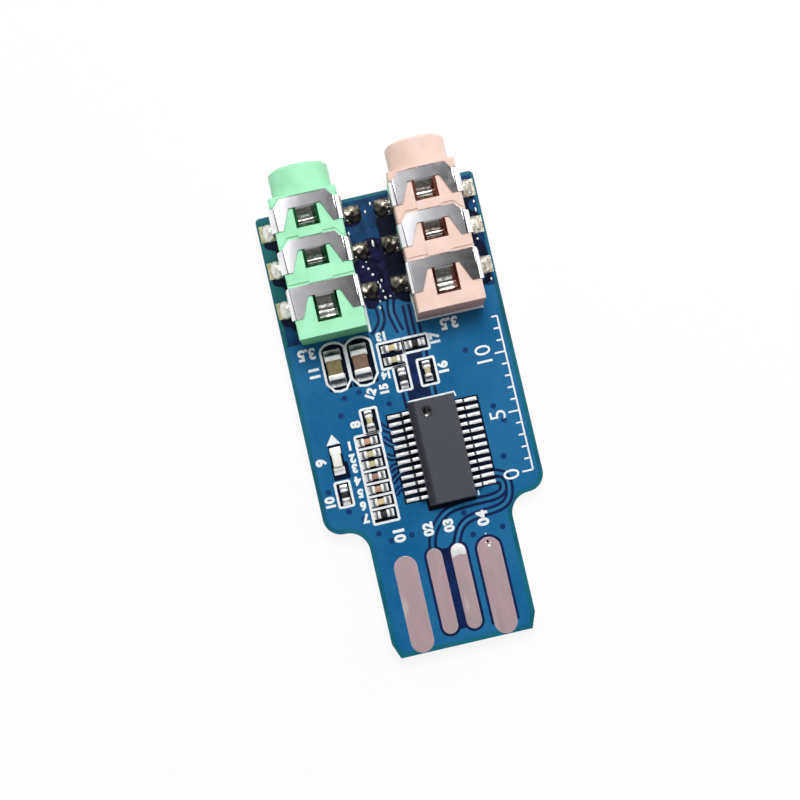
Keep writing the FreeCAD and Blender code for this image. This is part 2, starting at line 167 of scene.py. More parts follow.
# Boxes where the copper is cleared away; the bare laminate at the left edge, also darkened as painted shade
# beside the green socket; and copper darkened as painted shade between the sockets, beside the pink socket
# and low on the left
CLEARINGS = [(-0.4, 0.4, 1.25, 7.95), (0.0, 1.7, 20.0, 24.25)]
LEFT_EDGE = (-9.15, -7.3, 26.9, 37.6)
DEEP = [(-2.4, 2.4, 34.0, 37.6), (7.3, 9.0, 28.2, 37.6), (-8.85, -7.3, 26.9, 28.9)]
# Dark places with soft outlines, as corners that are cut round. The bays between the sockets are bare of
# copper and darkened further as painted shade
BAYS = [
    [(-2.1, 28.8), (-1.2, 28.3), (-0.5, 29.0), (0.4, 28.5), (1.1, 29.1), (2.1, 28.6), (2.1, 34.2),
     (0.5, 34.0), (-0.3, 34.4), (-1.1, 34.0), (-2.1, 34.3)],
    [(-2.1, 36.3), (-0.6, 36.3), (-0.7, 35.7), (-1.3, 35.4), (-2.1, 35.6)],
]
# Painted shade along both sides of the pink socket
DARKEST = [
    [(2.3, 28.2), (1.0, 28.5), (0.5, 29.4), (0.4, 31.0), (0.7, 32.4), (0.3, 33.4), (0.6, 34.6),
     (0.45, 35.6), (0.8, 36.3), (2.3, 36.3)],
    [(7.4, 28.3), (8.7, 28.4), (8.9, 29.4), (8.9, 31.9), (8.5, 32.0), (8.4, 32.5), (8.9, 32.9),
     (8.95, 34.5), (8.3, 34.6), (8.3, 35.5), (8.9, 35.5), (8.8, 36.0), (7.4, 36.0)],
]
# Corners of the painted shadow at each outer joint of the green socket, as the share of the way from the
# pad's edge to the housing and the distance along the board from the pad's near end
JOINT_SHADE = [(0.1, 0.2), (1.2, 0.2), (1.2, -1.4), (0.75, -1.3), (0.62, -0.8), (0.4, -0.7), (0.1, -0.5)]

# White print
PRINT_WIDTH = 0.22
TICK_WIDTH = 0.14
COLUMN_BOX = (-5.2, -3.1, 11.1, 18.45)
PRINT_BOXES = [
    COLUMN_BOX, (-4.3, -2.95, 18.45, 20.5), (-7.65, -6.45, 13.05, 15.1), (-1.7, 0.35, 23.35, 25.5),
    (0.35, 2.5, 24.25, 25.5), (-0.85, 0.35, 21.3, 23.35), (1.2, 2.6, 21.3, 23.5),
]
LARGE_BOXES = [(-6.42, -4.42, 22.4, 26.45), (-4.3, -2.16, 22.4, 26.45)]
LARGE_CORNER = (0.5, 0.8)
LARGE_SAG = 0.1
LARGE_CROWN = 0.6
LARGE_STEPS = 8
LIGHT_ARROW = [(-7.6, 18.25), (-6.45, 18.25), (-7.0, 19.1)]
GREEN_LINE_END = 28.7
PINK_LINE_END = 29.0
CHIP_LINE_GAP = 0.1
CHIP_SIDE_GAP = 0.2
CHIP_LINE_START = 0.15
CHIP_LINE_CUT = 0.1
CHIP_LINE_LEG = 0.4

# The parts in the column, and the one with no printed line below it
COLUMN = [f"supply_capacitor_{row}" for row in range(1, 7)] + ["supply_bead"]
UNLINED = "supply_capacitor_2"

# A numeral is its text, x, s, size and turn. Those of the column stand level with its parts
NUMERALS = [
    ("01", -3.35, 9.85, 1.25, 90), ("02", -0.95, 9.75, 1.1, 90), ("03", 0.75, 9.7, 1.1, 90),
    ("04", 3.6, 9.65, 1.25, 90), ("3.5", -7.55, 26.0, 1.25, 180), ("3.5", 4.5, 25.95, 1.25, 180),
    ("8", -4.85, 19.45, 1.1, 90), ("9", -8.3, 17.0, 1.15, 90), ("10", -8.3, 13.6, 1.05, 90),
    ("11", -7.2, 24.3, 1.15, 90), ("12", -3.1, 21.6, 1.0, 60), ("13", -1.2, 26.1, 0.95, 180),
    ("14", -1.48, 22.9, 0.8, 180), ("15", -1.9, 21.75, 0.95, 90), ("16", 3.25, 22.4, 1.1, 90),
    ("17", 3.1, 24.9, 1.05, 90),
]
COLUMN_NUMERAL_X = -5.75
COLUMN_NUMERAL_SIZE = 0.95
COLUMN_NUMERAL_TURN = 180
NUMERAL_BOLD = 0.06
NUMERAL_STEPS = 3

# The millimetre scale beside the chip
SCALE_START = 12.6
SCALE_LENGTH = 13
SCALE_EDGE = 8.5
SCALE_GROUP = 5
SCALE_LONG = 0.9
SCALE_SHORT = 0.5
SCALE_NUMBER_GAP = 1.75
SCALE_NUMBER_SIZE = 1.9
SCALE_NUMBER_TURN = 90

# Solder. A rise is a share of the height of the solid that the solder stands for or climbs
MOUND_STEPS = 10
SOLDER_SINK = 0.02
JOINT_SPREAD = 0.12
JOINT_RISE = 1.05
JOINT_ROUNDING = 0.85
JOINT_PHASE = 1.7
JOINT_UNEVEN = 0.12
PAD_STRIP = 0.16
PAD_REACH = 0.1
END_LAP = 0.06
END_RISE = 0.75
LEAD_FOOT = 0.42
LEAD_HEIGHT = 0.14
LEAD_MOUND_ROUNDING = 0.4
SPECK_FLATNESS = 0.6
TINNING_MARGIN = 0.04
TINNING_HEIGHT = 0.04
TINNING_ENDS = (0.45, 0.3, 0.42)
TINNING_STEPS = 12

# Splashes of solder, as x, s, width and length. Those at the power contact are x and s from the middle of
# its top, and radius
SPLASHES = [
    (-0.13, 33.77, 0.12, 0.32), (-1.37, 32.03, 0.1, 0.1), (-0.97, 31.77, 0.12, 0.12),
    (-0.73, 31.23, 0.14, 0.12), (-1.03, 32.37, 0.07, 0.07), (-0.13, 30.6, 0.1, 0.14),
    (-0.45, 30.5, 0.06, 0.12), (-0.33, 30.15, 0.06, 0.24), (-0.2, 29.7, 0.09, 0.12),
    (-0.13, 29.13, 0.1, 0.15), (0.3, 29.17, 0.1, 0.1), (-0.63, 28.93, 0.09, 0.09),
    (-0.77, 28.4, 0.1, 0.14), (0.37, 37.05, 0.1, 0.16), (-0.17, 36.47, 0.09, 0.14),
    (-1.9, 35.0, 0.1, 0.18), (8.8, 35.3, 0.08, 0.14), (8.8, 34.6, 0.07, 0.2),
    (8.4, 32.2, 0.1, 0.1), (8.75, 28.7, 0.08, 0.12),
]
POWER_SPLASHES = [(0.05, -0.75, 0.15), (-0.12, -0.42, 0.08), (0.22, -0.5, 0.07), (0.0, 0.3, 0.07)]

# Rounding of edges, and the turn between two faces from which their edge is rounded
EDGE_SEGMENTS = 2
EDGE_TURN = 30.0
HOUSING_ROUNDING = 0.06
CLIP_ROUNDING = 0.08
PAD_ROUNDING = 0.015
CONTACT_ROUNDING = 0.04
CHIP_ROUNDING = 0.04
LEAD_ROUNDING = 0.03
END_ROUNDING = 0.04
BODY_ROUNDING = 0.015
LENS_ROUNDING = 0.06
TINNING_ROUNDING = 0.05
TINNING_SEGMENTS = 3

# Angles in degrees below which neighbouring faces shade as one or are joined, and tolerances of meshes
SMOOTH_ANGLE = 35.0
SOLDER_ANGLE = 60.0
FLAT_ANGLE = 0.2
CAD_MERGE = 0.001
FINE_MERGE = 0.0005
DECK_SLACK = 0.01

# Sizes inside the sockets and the chip's dimple, which tell the faces there from the rest
BORE_RADIUS = 1.8
BORE_SLACK = 0.04
WINDOW_HALF = 0.975
WINDOW_SLACK = 0.02
WINDOW_FLOOR = 1.26
WINDOW_RIM = 2.35
REAR_DEPTH = 0.1
SEAM_INSET = 0.15
SEAM_END = 0.02
SEAM_DEPTHS = (0.103, 0.2)
SPRING_DROP = 0.03
NOSE_LENGTH = 2.37
NOSE_RADIUS = 2.45
NOSE_RINGS = 9
NOSE_SLACK = 0.015
NOSE_START = 0.01
CHIP_BEVEL = 0.6
DIMPLE_CORNER = 2.0
DIMPLE_DEPTHS = (0.02, 0.4)
DIMPLE_STEP = 0.1
DIMPLE_DROPS = (0.038, 0.029, 0.02, 0.011)

# How far a face's normal follows an axis where it counts as a top, a rear wall, a steep side and so on
TOP_FACING = 0.9
REAR_FACING = 0.7
STEEP_FACING = 0.5
SEAM_FACING = 0.98
CLIP_FACING = 0.93
LEAD_FACING = 0.75
DIMPLE_FACING = 0.99

# Heights of the springs' sheet, from where it touches a plug to the clip's top, over which its bands of
# painted shade and highlight run, and where its painted shade beside the window's wall starts
SPRING_LOW = 6.28
SPRING_HIGH = 7.0
SPRING_SHADE = 0.44
SPRING_SHADE_WIDTH = 0.08

# Form of the clips' sheet: the fall of its crown at 1 mm from the middle, the leans of single clips,
# and its waves
CLIP_CROWN = 0.014
CLIP_LEANS = {("output", "ring"): -0.012, ("microphone", "sleeve"): -0.015, ("microphone", "ring"): -0.09}
CLIP_WAVE_LENGTH = 4.5
CLIP_WAVE_DEPTH = 0.032

# Shares of gloss, and colours that come up more than once
LACQUER_SHINE = 0.16
PLASTIC_SHINE = 0.18
REAR_SHINE = 0.02
EVEN = (1, 1, 1)
NICKEL = ((222, 221, 226), (236, 235, 238))
# Darker copies of each socket's plastic, as painted shade on its rear wall, in its bore, in its windows and
# in the seams round its clips
SOCKET_SHADE_TONES = {
    "rear": (((118, 208, 156), (130, 218, 168)), ((204, 162, 153), (212, 174, 166))),
    "bore": (((112, 204, 150), (128, 216, 164)), ((226, 172, 152), (236, 186, 168))),
    "window": (((60, 150, 96), (76, 168, 112)), ((206, 126, 96), (220, 142, 112))),
    "seam": (((40, 100, 68), (52, 116, 82)), ((138, 96, 84), (152, 110, 98))),
}


def node_box(node):
    low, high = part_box(node)
    return low / MM, high / MM


deck = node_box("circuit_board")[1].z
plug_end = node_box("circuit_board")[0].y


def on_board(x, s, z=0.0):
    return Vector((x, plug_end + s, deck + z))


# Materials

def srgb(red, green, blue):
    """A colour on screen as the shader's linear values."""
    def linear(level):
        level = level / 255
        return level / 12.92 if level <= 0.04045 else ((level + 0.055) / 1.055) ** 2.4
    return (linear(red), linear(green), linear(blue), 1.0)


class Wiring:
    """The node tree of a material or of the room."""

    def __init__(self, tree):
        self.tree = tree

    def add(self, kind):
        return self.tree.nodes.new(kind)

    def join(self, source, target):
        self.tree.links.new(source, target)

    def feed(self, source, target):
        """Links a socket, or sets a plain value."""
        if isinstance(source, bpy.types.NodeSocket):
            self.join(source, target)
        else:
            target.default_value = source

    def axes(self, vector):
        """The X, Y and Z of a vector."""
        parts = self.add("ShaderNodeSeparateXYZ")
        self.join(vector, parts.inputs[0])
        return parts.outputs

    def sum_up(self, operation, first, second):
        """One step of arithmetic on sockets or numbers."""
        step = self.add("ShaderNodeMath")
        step.operation = operation
        self.feed(first, step.inputs[0])
        self.feed(second, step.inputs[1])
        return step.outputs[0]

    def levels(self, factor, low, high, start=0.35, end=0.65):
        """The factor spread from the range of start to end over the range of low to high."""
        spread = self.add("ShaderNodeMapRange")
        spread.inputs["From Min"].default_value = start
        spread.inputs["From Max"].default_value = end
        self.feed(low, spread.inputs["To Min"])
        self.feed(high, spread.inputs["To Max"])
        self.join(factor, spread.inputs["Value"])
        return spread.outputs["Result"]

    def seen(self):
        """1 for what is seen straight on or through a mirror or glass, and 0 for what only gives light."""
        path = self.add("ShaderNodeLightPath")
        seen = path.outputs["Is Camera Ray"]
        for kind in ("Is Glossy Ray", "Is Transmission Ray"):
            seen = self.sum_up("MAXIMUM", seen, path.outputs[kind])
        return seen


class Finish(Wiring):
    """A material whose colour, gloss and relief come from noise in object coordinates."""

    def __init__(self, name, **sockets):
        self.material = bpy.data.materials.new(name)
        self.material.use_nodes = True
        super().__init__(self.material.node_tree)
        self.shader = self.tree.nodes["Principled BSDF"]
        self.place = self.add("ShaderNodeTexCoord").outputs["Object"]
        for socket, value in sockets.items():
            title = socket.replace("_", " ").title().replace("Ior", "IOR")
            self.shader.inputs[title].default_value = value

    def grain(self, size, detail=2.0, stretch=EVEN):
        """Noise with features of about size, drawn out along each axis by stretch."""
        mapping = self.add("ShaderNodeMapping")
        mapping.inputs["Scale"].default_value = [1 / (size * MM * length) for length in stretch]
        self.join(self.place, mapping.inputs["Vector"])
        noise = self.add("ShaderNodeTexNoise")
        noise.inputs["Scale"].default_value = 1.0
        noise.inputs["Detail"].default_value = detail
        self.join(mapping.outputs["Vector"], noise.inputs["Vector"])
        return noise.outputs[0]

    def mix(self, factor, first, second):
        """A blend of two colours, each a colour on screen or another blend."""
        blend = self.add("ShaderNodeMix")
        blend.data_type = "RGBA"
        self.join(factor, blend.inputs["Factor"])
        for colour, target in ((first, blend.inputs[6]), (second, blend.inputs[7])):
            self.feed(srgb(*colour) if isinstance(colour, tuple) else colour, target)
        return blend.outputs[2]

    def tone(self, size, detail, dark, light, stretch=EVEN):
        """One colour clouded into another."""
        return self.mix(self.levels(self.grain(size, detail, stretch), 0.0, 1.0), dark, light)

    def bands(self, factor, stops):
        """Bands of colour along the factor, as a list of (place from 0 to 1, colour)."""
        ramp = self.add("ShaderNodeValToRGB")
        bands = ramp.color_ramp.elements
        for number, (place, colour) in enumerate(stops):
            band = bands[number] if number < len(bands) else bands.new(place)
            band.position = place
            band.color = srgb(*colour)
        self.join(factor, ramp.inputs["Fac"])
        return ramp.outputs["Color"]

    def facing(self, axis):
        """From -1 on faces that look against an axis to 1 on those that look along it."""
        return self.axes(self.add("ShaderNodeNewGeometry").outputs["Normal"])[axis]

    def colour(self, source):
        self.join(source, self.shader.inputs["Base Color"])

    def sheen(self, size, smooth, rough, detail=2.0, stretch=EVEN):
        """Gloss that drifts between two roughnesses."""
        drift = self.levels(self.grain(size, detail, stretch), smooth, rough)
        self.join(drift, self.shader.inputs["Roughness"])

    def relief(self, height, depth, strength=1.0):
        bump = self.add("ShaderNodeBump")
        bump.inputs["Strength"].default_value = strength
        bump.inputs["Distance"].default_value = depth * MM
        self.join(height, bump.inputs["Height"])
        self.join(bump.outputs["Normal"], self.shader.inputs["Normal"])

    def pits(self, size, depth, strength, detail=2.0, stretch=EVEN):
        """A fine uneven relief."""
        self.relief(self.grain(size, detail, stretch), depth, strength)


def mottled(name, dark, light, cloud, sheen=None, pits=None, **sockets):
    """Two colours clouded into each other, with uneven gloss and a fine relief.

    The cloud is (size, detail), the sheen (size, smooth, rough) and the pits (size, depth, strength).
    """
    finish = Finish(name, **sockets)
    finish.colour(finish.tone(*cloud, dark, light))
    if sheen:
        finish.sheen(*sheen)
    if pits:
        finish.pits(*pits)
    return finish.material


def lacquer(name, dark, light, patch, shine=LACQUER_SHINE):
    """Glossy solder lacquer, a little uneven in colour and surface."""
    return mottled(
        name + "_lacquer", dark, light, cloud=(patch, 3.0), sheen=(0.5, 0.26, 0.42), pits=(0.25, 0.004, 0.5),
        specular_ior_level=shine, coat_weight=shine / 5, coat_roughness=0.1,
    )


def board_laminate():
    """Lacquer over laminate on the top, lacquered copper below, and layered glass cloth on the cut edges."""
    finish = Finish(
        "board_laminate", roughness=0.35, specular_ior_level=LACQUER_SHINE,
        coat_weight=0.03, coat_roughness=0.1,
    )
    top = finish.tone(3.0, 3.0, (12, 88, 108), (24, 108, 128))
    underside = finish.tone(3.0, 3.0, (12, 94, 144), (26, 106, 156))
    edge = finish.tone(0.06, 1.0, (170, 170, 136), (186, 186, 152), (60, 60, 1))
    upward = finish.facing("Z")
    sides = finish.mix(finish.levels(upward, 1.0, 0.0, -0.6, -0.4), edge, underside)
    finish.colour(finish.mix(finish.levels(upward, 0.0, 1.0, 0.4, 0.6), sides, top))
    finish.pits(0.2, 0.004, 0.5)
    return finish.material


def moulding(name, deep, pale, shine=PLASTIC_SHINE):
    """Moulded plastic with a soft sheen and a fine grain."""
    return mottled(
        name, deep, pale, cloud=(1.6, 3.0), sheen=(0.4, 0.4, 0.54), pits=(0.09, 0.004, 0.35),
        subsurface_weight=0.1, subsurface_scale=0.3 * MM, specular_ior_level=shine,
    )


def across_socket(finish, jack):
    """The distance across a socket from its axis, in millimetres."""
    axis = sum(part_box(jack + "_jack_housing"), Vector()).x / 2
    across = finish.sum_up("SUBTRACT", finish.axes(finish.place)["X"], axis)
    return finish.sum_up("DIVIDE", across, MM)


def clip_nickel(jack, clip):
    """Bright nickel on sheet that is crowned a little across the socket, gently wavy, and leans a little."""
    finish = Finish(f"{jack}_{clip}_clip_nickel", metallic=1.0)
    finish.colour(finish.tone(2.5, 1.0, *NICKEL))
    finish.sheen(0.6, 0.12, 0.16, 1.0)
    across = across_socket(finish, jack)
    crown = finish.sum_up("MULTIPLY", finish.sum_up("MULTIPLY", across, across), -CLIP_CROWN)
    lean = finish.sum_up("MULTIPLY", across, -CLIP_LEANS.get((jack, clip), 0.0))
    crown = finish.sum_up("ADD", crown, lean)
    wave = finish.sum_up("MULTIPLY", finish.grain(CLIP_WAVE_LENGTH, 0.0), CLIP_WAVE_DEPTH)
    finish.relief(finish.sum_up("ADD", crown, wave), 1.0)
    return finish.material


def bent_nickel():
    """Bright nickel over the clips' bends and flanges, lighter than the plates' nickel: a painted highlight
    that makes them read white.
    """
    return mottled(
        "bent_nickel", (236, 236, 238), (250, 250, 250), cloud=(0.8, 2.0), sheen=(0.5, 0.18, 0.24, 1.0),
        metallic=1.0,
    )


def spring_metal(jack, shade):
    """The springs' sheet: dark where it slopes down into the bore, with bright lines along its bend, both
    painted shade and painted highlights in bands by height, broken by grey patches.

    The shade is its colour beside the window's far wall, painted there as that wall's shade.
    """
    finish = Finish(jack + "_spring_metal", metallic=0.6)
    height = finish.axes(finish.place)["Z"]
    height = finish.levels(height, 0.0, 1.0, SPRING_LOW * MM, SPRING_HIGH * MM)
    black = (12, 14, 10)
    dark = (66, 68, 62)
    grey = (110, 110, 106)
    pale = (206, 214, 198)
    bright = (248, 248, 244)
    # Painted shade and highlights in bands by height: one set for faces that fall into the bore, one for
    # those that rise to the tip
    slope = [(0.0, grey), (0.17, grey), (0.23, bright), (0.35, bright), (0.42, dark), (0.9, dark),
             (1.0, (140, 138, 136))]
    tip = [(0.0, bright), (0.18, bright), (0.23, black), (0.36, black), (0.42, pale), (1.0, pale)]
    risen = finish.levels(finish.facing("Y"), 0.0, 1.0, -0.05, 0.05)
    sheet = finish.mix(risen, finish.bands(height, slope), finish.bands(height, tip))
    rubbed = finish.levels(finish.grain(0.16, 2.0, (2, 1, 1)), 0.0, 0.8, 0.43, 0.52)
    sheet = finish.mix(rubbed, sheet, (96, 96, 92))
    across = across_socket(finish, jack)
    # Painted shade beside the window's wall
    beside_wall = finish.levels(across, 0.0, 1.0, SPRING_SHADE, SPRING_SHADE + SPRING_SHADE_WIDTH)
    finish.colour(finish.mix(beside_wall, sheet, shade))
    finish.sheen(0.12, 0.2, 0.36, 2.0, (4, 1, 1))
    finish.pits(0.2, 0.02, 0.6, 1.0, (6, 1, 1))
    return finish.material


def contact_plating():
    """Smooth plated copper, worn in faint streaks along the plug."""
    finish = Finish("contact_plating", metallic=0.55)
    worn = finish.tone(2.2, 2.0, (186, 166, 168), (205, 168, 180))
    worn = finish.tone(0.16, 3.0, worn, (192, 172, 175), (1, 25, 1))
    bright = finish.levels(finish.grain(1.6, 2.0, (1, 3, 1)), 0.0, 0.8, 0.62, 0.74)
    finish.colour(finish.mix(bright, worn, (236, 226, 226)))
    finish.sheen(0.1, 0.37, 0.44, 2.0, (1, 20, 1))
    finish.pits(0.06, 0.002, 0.25, 2.0, (1, 30, 1))
    return finish.material


def dull_metal(name, dark, light, smooth, rough, size, metallic):
    """Tin, solder or worn plating: mottled, and finely pitted."""
    return mottled(
        name, dark, light, cloud=(size, 3.0), sheen=(size / 2, smooth, rough), pits=(size / 3, 0.01, 0.4),
        metallic=metallic,
    )


def fluxed_solder():
    """Solder with painted light on the faces that look towards the sockets' mouths, and painted shade, near
    black, on those that look towards the plug.
    """
    finish = Finish("fluxed_solder", metallic=0.6)
    bright = finish.tone(0.5, 3.0, (84, 78, 70), (190, 178, 160))
    shaded = finish.tone(0.5, 3.0, (8, 7, 9), (40, 36, 34))
    lit = finish.levels(finish.facing("Y"), 0.0, 1.0, -0.1, 0.35)
    finish.colour(finish.mix(lit, shaded, bright))
    finish.sheen(0.3, 0.2, 0.36)
    finish.pits(0.35, 0.03, 0.5, 1.0)
    return finish.material


def sloped_solder():
    """Solder with painted shade where it climbs a plated end, dark on its steep faces, and white where it
    lies flat on its pad.
    """
    finish = Finish("sloped_solder", metallic=0.5)
    steep = finish.tone(0.5, 2.0, (52, 54, 60), (112, 114, 120))
    flat = finish.tone(0.5, 2.0, (214, 214, 214), (246, 246, 244))
    lying = finish.levels(finish.facing("Z"), 0.0, 1.0, 0.6, 0.9)
    finish.colour(finish.mix(lying, steep, flat))
    finish.sheen(0.3, 0.25, 0.4)
    finish.pits(0.3, 0.02, 0.4, 1.0)
    return finish.material


def chip_resin(name, dark, light, smooth, rough, shine):
    """Filled black resin with a faint speckle."""
    return mottled(
        name, dark, light, cloud=(0.06, 2.0), sheen=(0.3, smooth, rough), pits=(0.05, 0.005, 0.5),
        specular_ior_level=shine,
    )


def ceramic(name, dark, light):
    """Fired ceramic with a dry, slightly cloudy surface."""
    return mottled(
        name, dark, light, cloud=(0.3, 3.0), sheen=(0.15, 0.42, 0.6), pits=(0.06, 0.006, 0.4),
        specular_ior_level=0.4,
    )


def print_ink():
    """Screen ink: white, a little uneven where it is thin."""
    return mottled(
        "print_ink", (232, 240, 244), (250, 252, 252), cloud=(0.15, 3.0), pits=(0.08, 0.004, 0.4),
        roughness=0.6, specular_ior_level=0.2,
    )


def light_resin():
    """The status light's clear resin over its pale phosphor."""
    return mottled(
        "light_resin", (248, 248, 226), (254, 254, 246), cloud=(0.4, 2.0), sheen=(0.2, 0.14, 0.3),
        subsurface_weight=0.3, subsurface_scale=0.4 * MM,
    )


finishes = {
    "board": board_laminate(),
    "contact_plate": contact_plating(),
    "green_plastic": moulding("green_plastic", (164, 236, 192), (176, 245, 205)),
    "pink_plastic": moulding("pink_plastic", (236, 205, 192), (244, 215, 204)),
    "nickel_clip": dull_metal("nickel_clip", *NICKEL, 0.1, 0.2, 2.5, 1.0),
    "pad_gold": dull_metal("pad_gold", (148, 143, 102), (184, 179, 140), 0.35, 0.5, 0.4, 0.4),
    "solder": dull_metal("solder", (226, 225, 214), (250, 250, 244), 0.2, 0.36, 0.5, 0.35),
    "chip_plastic": chip_resin("chip_resin", (57, 58, 68), (72, 73, 83), 0.55, 0.7, 0.35),
    "tin_plate": dull_metal("tin_plate", (232, 232, 232), (250, 250, 250), 0.35, 0.5, 0.3, 0.45),
    "khaki_ceramic": ceramic("khaki_ceramic", (184, 174, 132), (206, 196, 154)),
    "brown_ceramic": ceramic("brown_ceramic", (138, 108, 94), (160, 128, 112)),
    "orange_ceramic": ceramic("orange_ceramic", (176, 138, 114), (198, 158, 132)),
    "tan_ceramic": ceramic("tan_ceramic", (196, 178, 130), (214, 198, 150)),
    "black_ceramic": ceramic("black_ceramic", (24, 24, 28), (40, 40, 44)),
    "light_base": ceramic("light_base", (240, 240, 228), (250, 250, 242)),
    "light_lens": light_resin(),
}
large_finishes = {
    "output_capacitor_left": ceramic("large_khaki", (112, 99, 66), (134, 121, 88)),
    "output_capacitor_right": ceramic("large_brown", (114, 90, 76), (136, 106, 90)),
}
# The sockets' painted shade: one darker copy of the plastic for each place
socket_shade_finishes = {
    (jack, place): moulding(f"{colour}_{place}", *tones, REAR_SHINE if place == "rear" else PLASTIC_SHINE)
    for place, pair in SOCKET_SHADE_TONES.items()
    for jack, colour, tones in zip(JACKS, ("green", "pink"), pair)
}
clip_finishes = {(jack, clip): clip_nickel(jack, clip) for jack in JACKS for clip in CLIPS}
# Each spring's painted shade beside the window's wall, in a dark tone of that socket's plastic
spring_finishes = {
    "output": spring_metal("output", (28, 52, 36)),
    "microphone": spring_metal("microphone", (74, 40, 30)),
}
bend_highlight = bent_nickel()
lit_and_shaded_solder = fluxed_solder()
# Solder at the small parts' ends, with painted shade on its steep faces
fillet_solder = sloped_solder()
pale_solder = dull_metal("pale_solder", (158, 151, 138), (216, 209, 196), 0.25, 0.4, 0.4, 0.45)
white_tin = dull_metal("white_tin", (240, 240, 236), (252, 252, 250), 0.3, 0.45, 0.3, 0.1)
# Painted shade for the leads' sides and slopes
lead_shade = dull_metal("lead_shade", (60, 60, 66), (104, 104, 110), 0.3, 0.45, 0.2, 0.9)
# Near-black resin: painted shade in the chip's dimple and on the power contact's hole
recess_shade_resin = chip_resin("recess_shade_resin", (12, 12, 15), (22, 22, 27), 0.08, 0.14, 0.8)
copper_lacquer = lacquer("copper", (12, 96, 146), (32, 108, 157), 5.0)
track_lacquer = lacquer("track", (26, 104, 152), (48, 122, 168), 2.0)
gap_lacquer = lacquer("gap", (8, 26, 66), (13, 38, 86), 1.5)
# Dark lacquer for bare places, also used for painted shadow and shade
bare_and_shade_lacquer = lacquer("bare", (5, 11, 27), (12, 22, 46), 1.5, 0.07)
# The bays' mottled lacquer: bare of copper and partly painted shade
bay_lacquer = lacquer("bay", (7, 8, 26), (31, 32, 70), 0.45, 0.05)
via_lacquer = lacquer("via", (10, 46, 98), (18, 62, 116), 0.4)
# The left edge's bare laminate, darkened as painted shade
edge_lacquer = lacquer("edge", (12, 84, 94), (22, 104, 104), 2.0)
# Lacquer over copper darkened as painted shade
copper_shade_lacquer = lacquer("deep", (10, 48, 84), (20, 72, 118), 0.9, 0.08)
ink = print_ink()


# Pieces

def finished(name, bm, materials, smooth=SMOOTH_ANGLE):
    """Turns a bmesh in millimetres into a piece that rides on the board."""
    bmesh.ops.recalc_face_normals(bm, faces=bm.faces)
    bmesh.ops.scale(bm, vec=Vector((MM, MM, MM)), verts=bm.verts)
    mesh = bpy.data.meshes.new(name)
    bm.to_mesh(mesh)
    bm.free()
    mesh.shade_smooth()
    mesh.set_sharp_from_angle(angle=math.radians(smooth))
    for material in materials:
        mesh.materials.append(material)
    piece = bpy.data.objects.new(name, mesh)
    bpy.context.scene.collection.objects.link(piece)
    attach(piece, "root")
    return piece


def cad_copy(node):
    """A node's mesh in millimetres, merged and with its flat faces whole."""
    bm = bmesh.new()
    bm.from_mesh(nodes[node].data)
    bmesh.ops.scale(bm, vec=Vector((1, 1, 1)) / MM, verts=bm.verts)
    bmesh.ops.remove_doubles(bm, verts=bm.verts, dist=CAD_MERGE)
    bmesh.ops.dissolve_limit(bm, angle_limit=math.radians(FLAT_ANGLE), verts=bm.verts, edges=bm.edges)
    return bm


def round_edges(bm, edges, rounding, segments, clamp):
    bmesh.ops.bevel(
        bm, geom=edges, offset=rounding, offset_type="OFFSET", segments=segments, profile=0.5,
        affect="EDGES", material=-1, clamp_overlap=clamp,
    )


def rounded_copy(node, rounding, material=None, detail=None):
    """Stands for a node, with the same form and its outer edges rounded, and a detail added to its bmesh."""
    bm = cad_copy(node)
    edges = [
        edge for edge in bm.edges
        if edge.is_manifold and edge.is_convex and edge.calc_face_angle() > math.radians(EDGE_TURN)
        and edge.calc_length() > rounding
    ]
    round_edges(bm, edges, rounding, EDGE_SEGMENTS, True)
    if detail:
        detail(bm)
    slot = slot_of[node]
    piece = finished(node + "_rounded", bm, [material or finishes[slot]])
    flats = piece.modifiers.new("flats", "WEIGHTED_NORMAL")
    flats.keep_sharp = True
    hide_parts(node)
    return piece


def second_finish(piece, material, inside):
    """Gives the faces for which inside(middle, normal) holds, in millimetres, a finish of their own."""
    number = len(piece.data.materials)
    piece.data.materials.append(material)
    for face in piece.data.polygons:
        if inside(face.center / MM, face.normal):
            face.material_index = number


def islands(node):
    """The boxes of a node's separate solids, in millimetres, from left to right."""
    bm = cad_copy(node)
    left = set(bm.verts)
    boxes = []
    while left:
        stack = [left.pop()]
        group = []
        while stack:
            vert = stack.pop()
            group.append(vert.co.copy())
            for edge in vert.link_edges:
                other = edge.other_vert(vert)
                if other in left:
                    left.remove(other)
                    stack.append(other)
        low = Vector(min(co[axis] for co in group) for axis in range(3))
        high = Vector(max(co[axis] for co in group) for axis in range(3))
        boxes.append((low, high))
    bm.free()
    return sorted(boxes, key=lambda box: tuple(box[0]))


def new_verts(result):
    return [item for item in result["geom"] if isinstance(item, bmesh.types.BMVert)]


def lift(bm, verts, height):
    bmesh.ops.translate(bm, vec=Vector((0, 0, height)), verts=verts)


def disc(bm, place, radius, height, sides):
    """A low round disc. Gives its top face, in a list."""
    circle = bmesh.ops.create_circle(
        bm, cap_ends=True, segments=sides, radius=radius, matrix=Matrix.Translation(place)
    )
    grown = bmesh.ops.extrude_face_region(bm, geom=[circle["verts"][0].link_faces[0]])
    lift(bm, new_verts(grown), height)
    return [item for item in grown["geom"] if isinstance(item, bmesh.types.BMFace)]


def plate(bm, outline, low, high):
    """A flat plate over an outline of (x, s), between two heights above the deck."""
    face = bm.faces.new([bm.verts.new(on_board(x, s, low)) for x, s in outline])
    grown = bmesh.ops.extrude_face_region(bm, geom=[face])
    lift(bm, new_verts(grown), high - low)


def plates(name, outlines, rise, material):
    """A piece of flat plates from the deck up."""
    bm = bmesh.new()
    for outline in outlines:
        plate(bm, outline, 0, rise)
    finished(name, bm, [material])


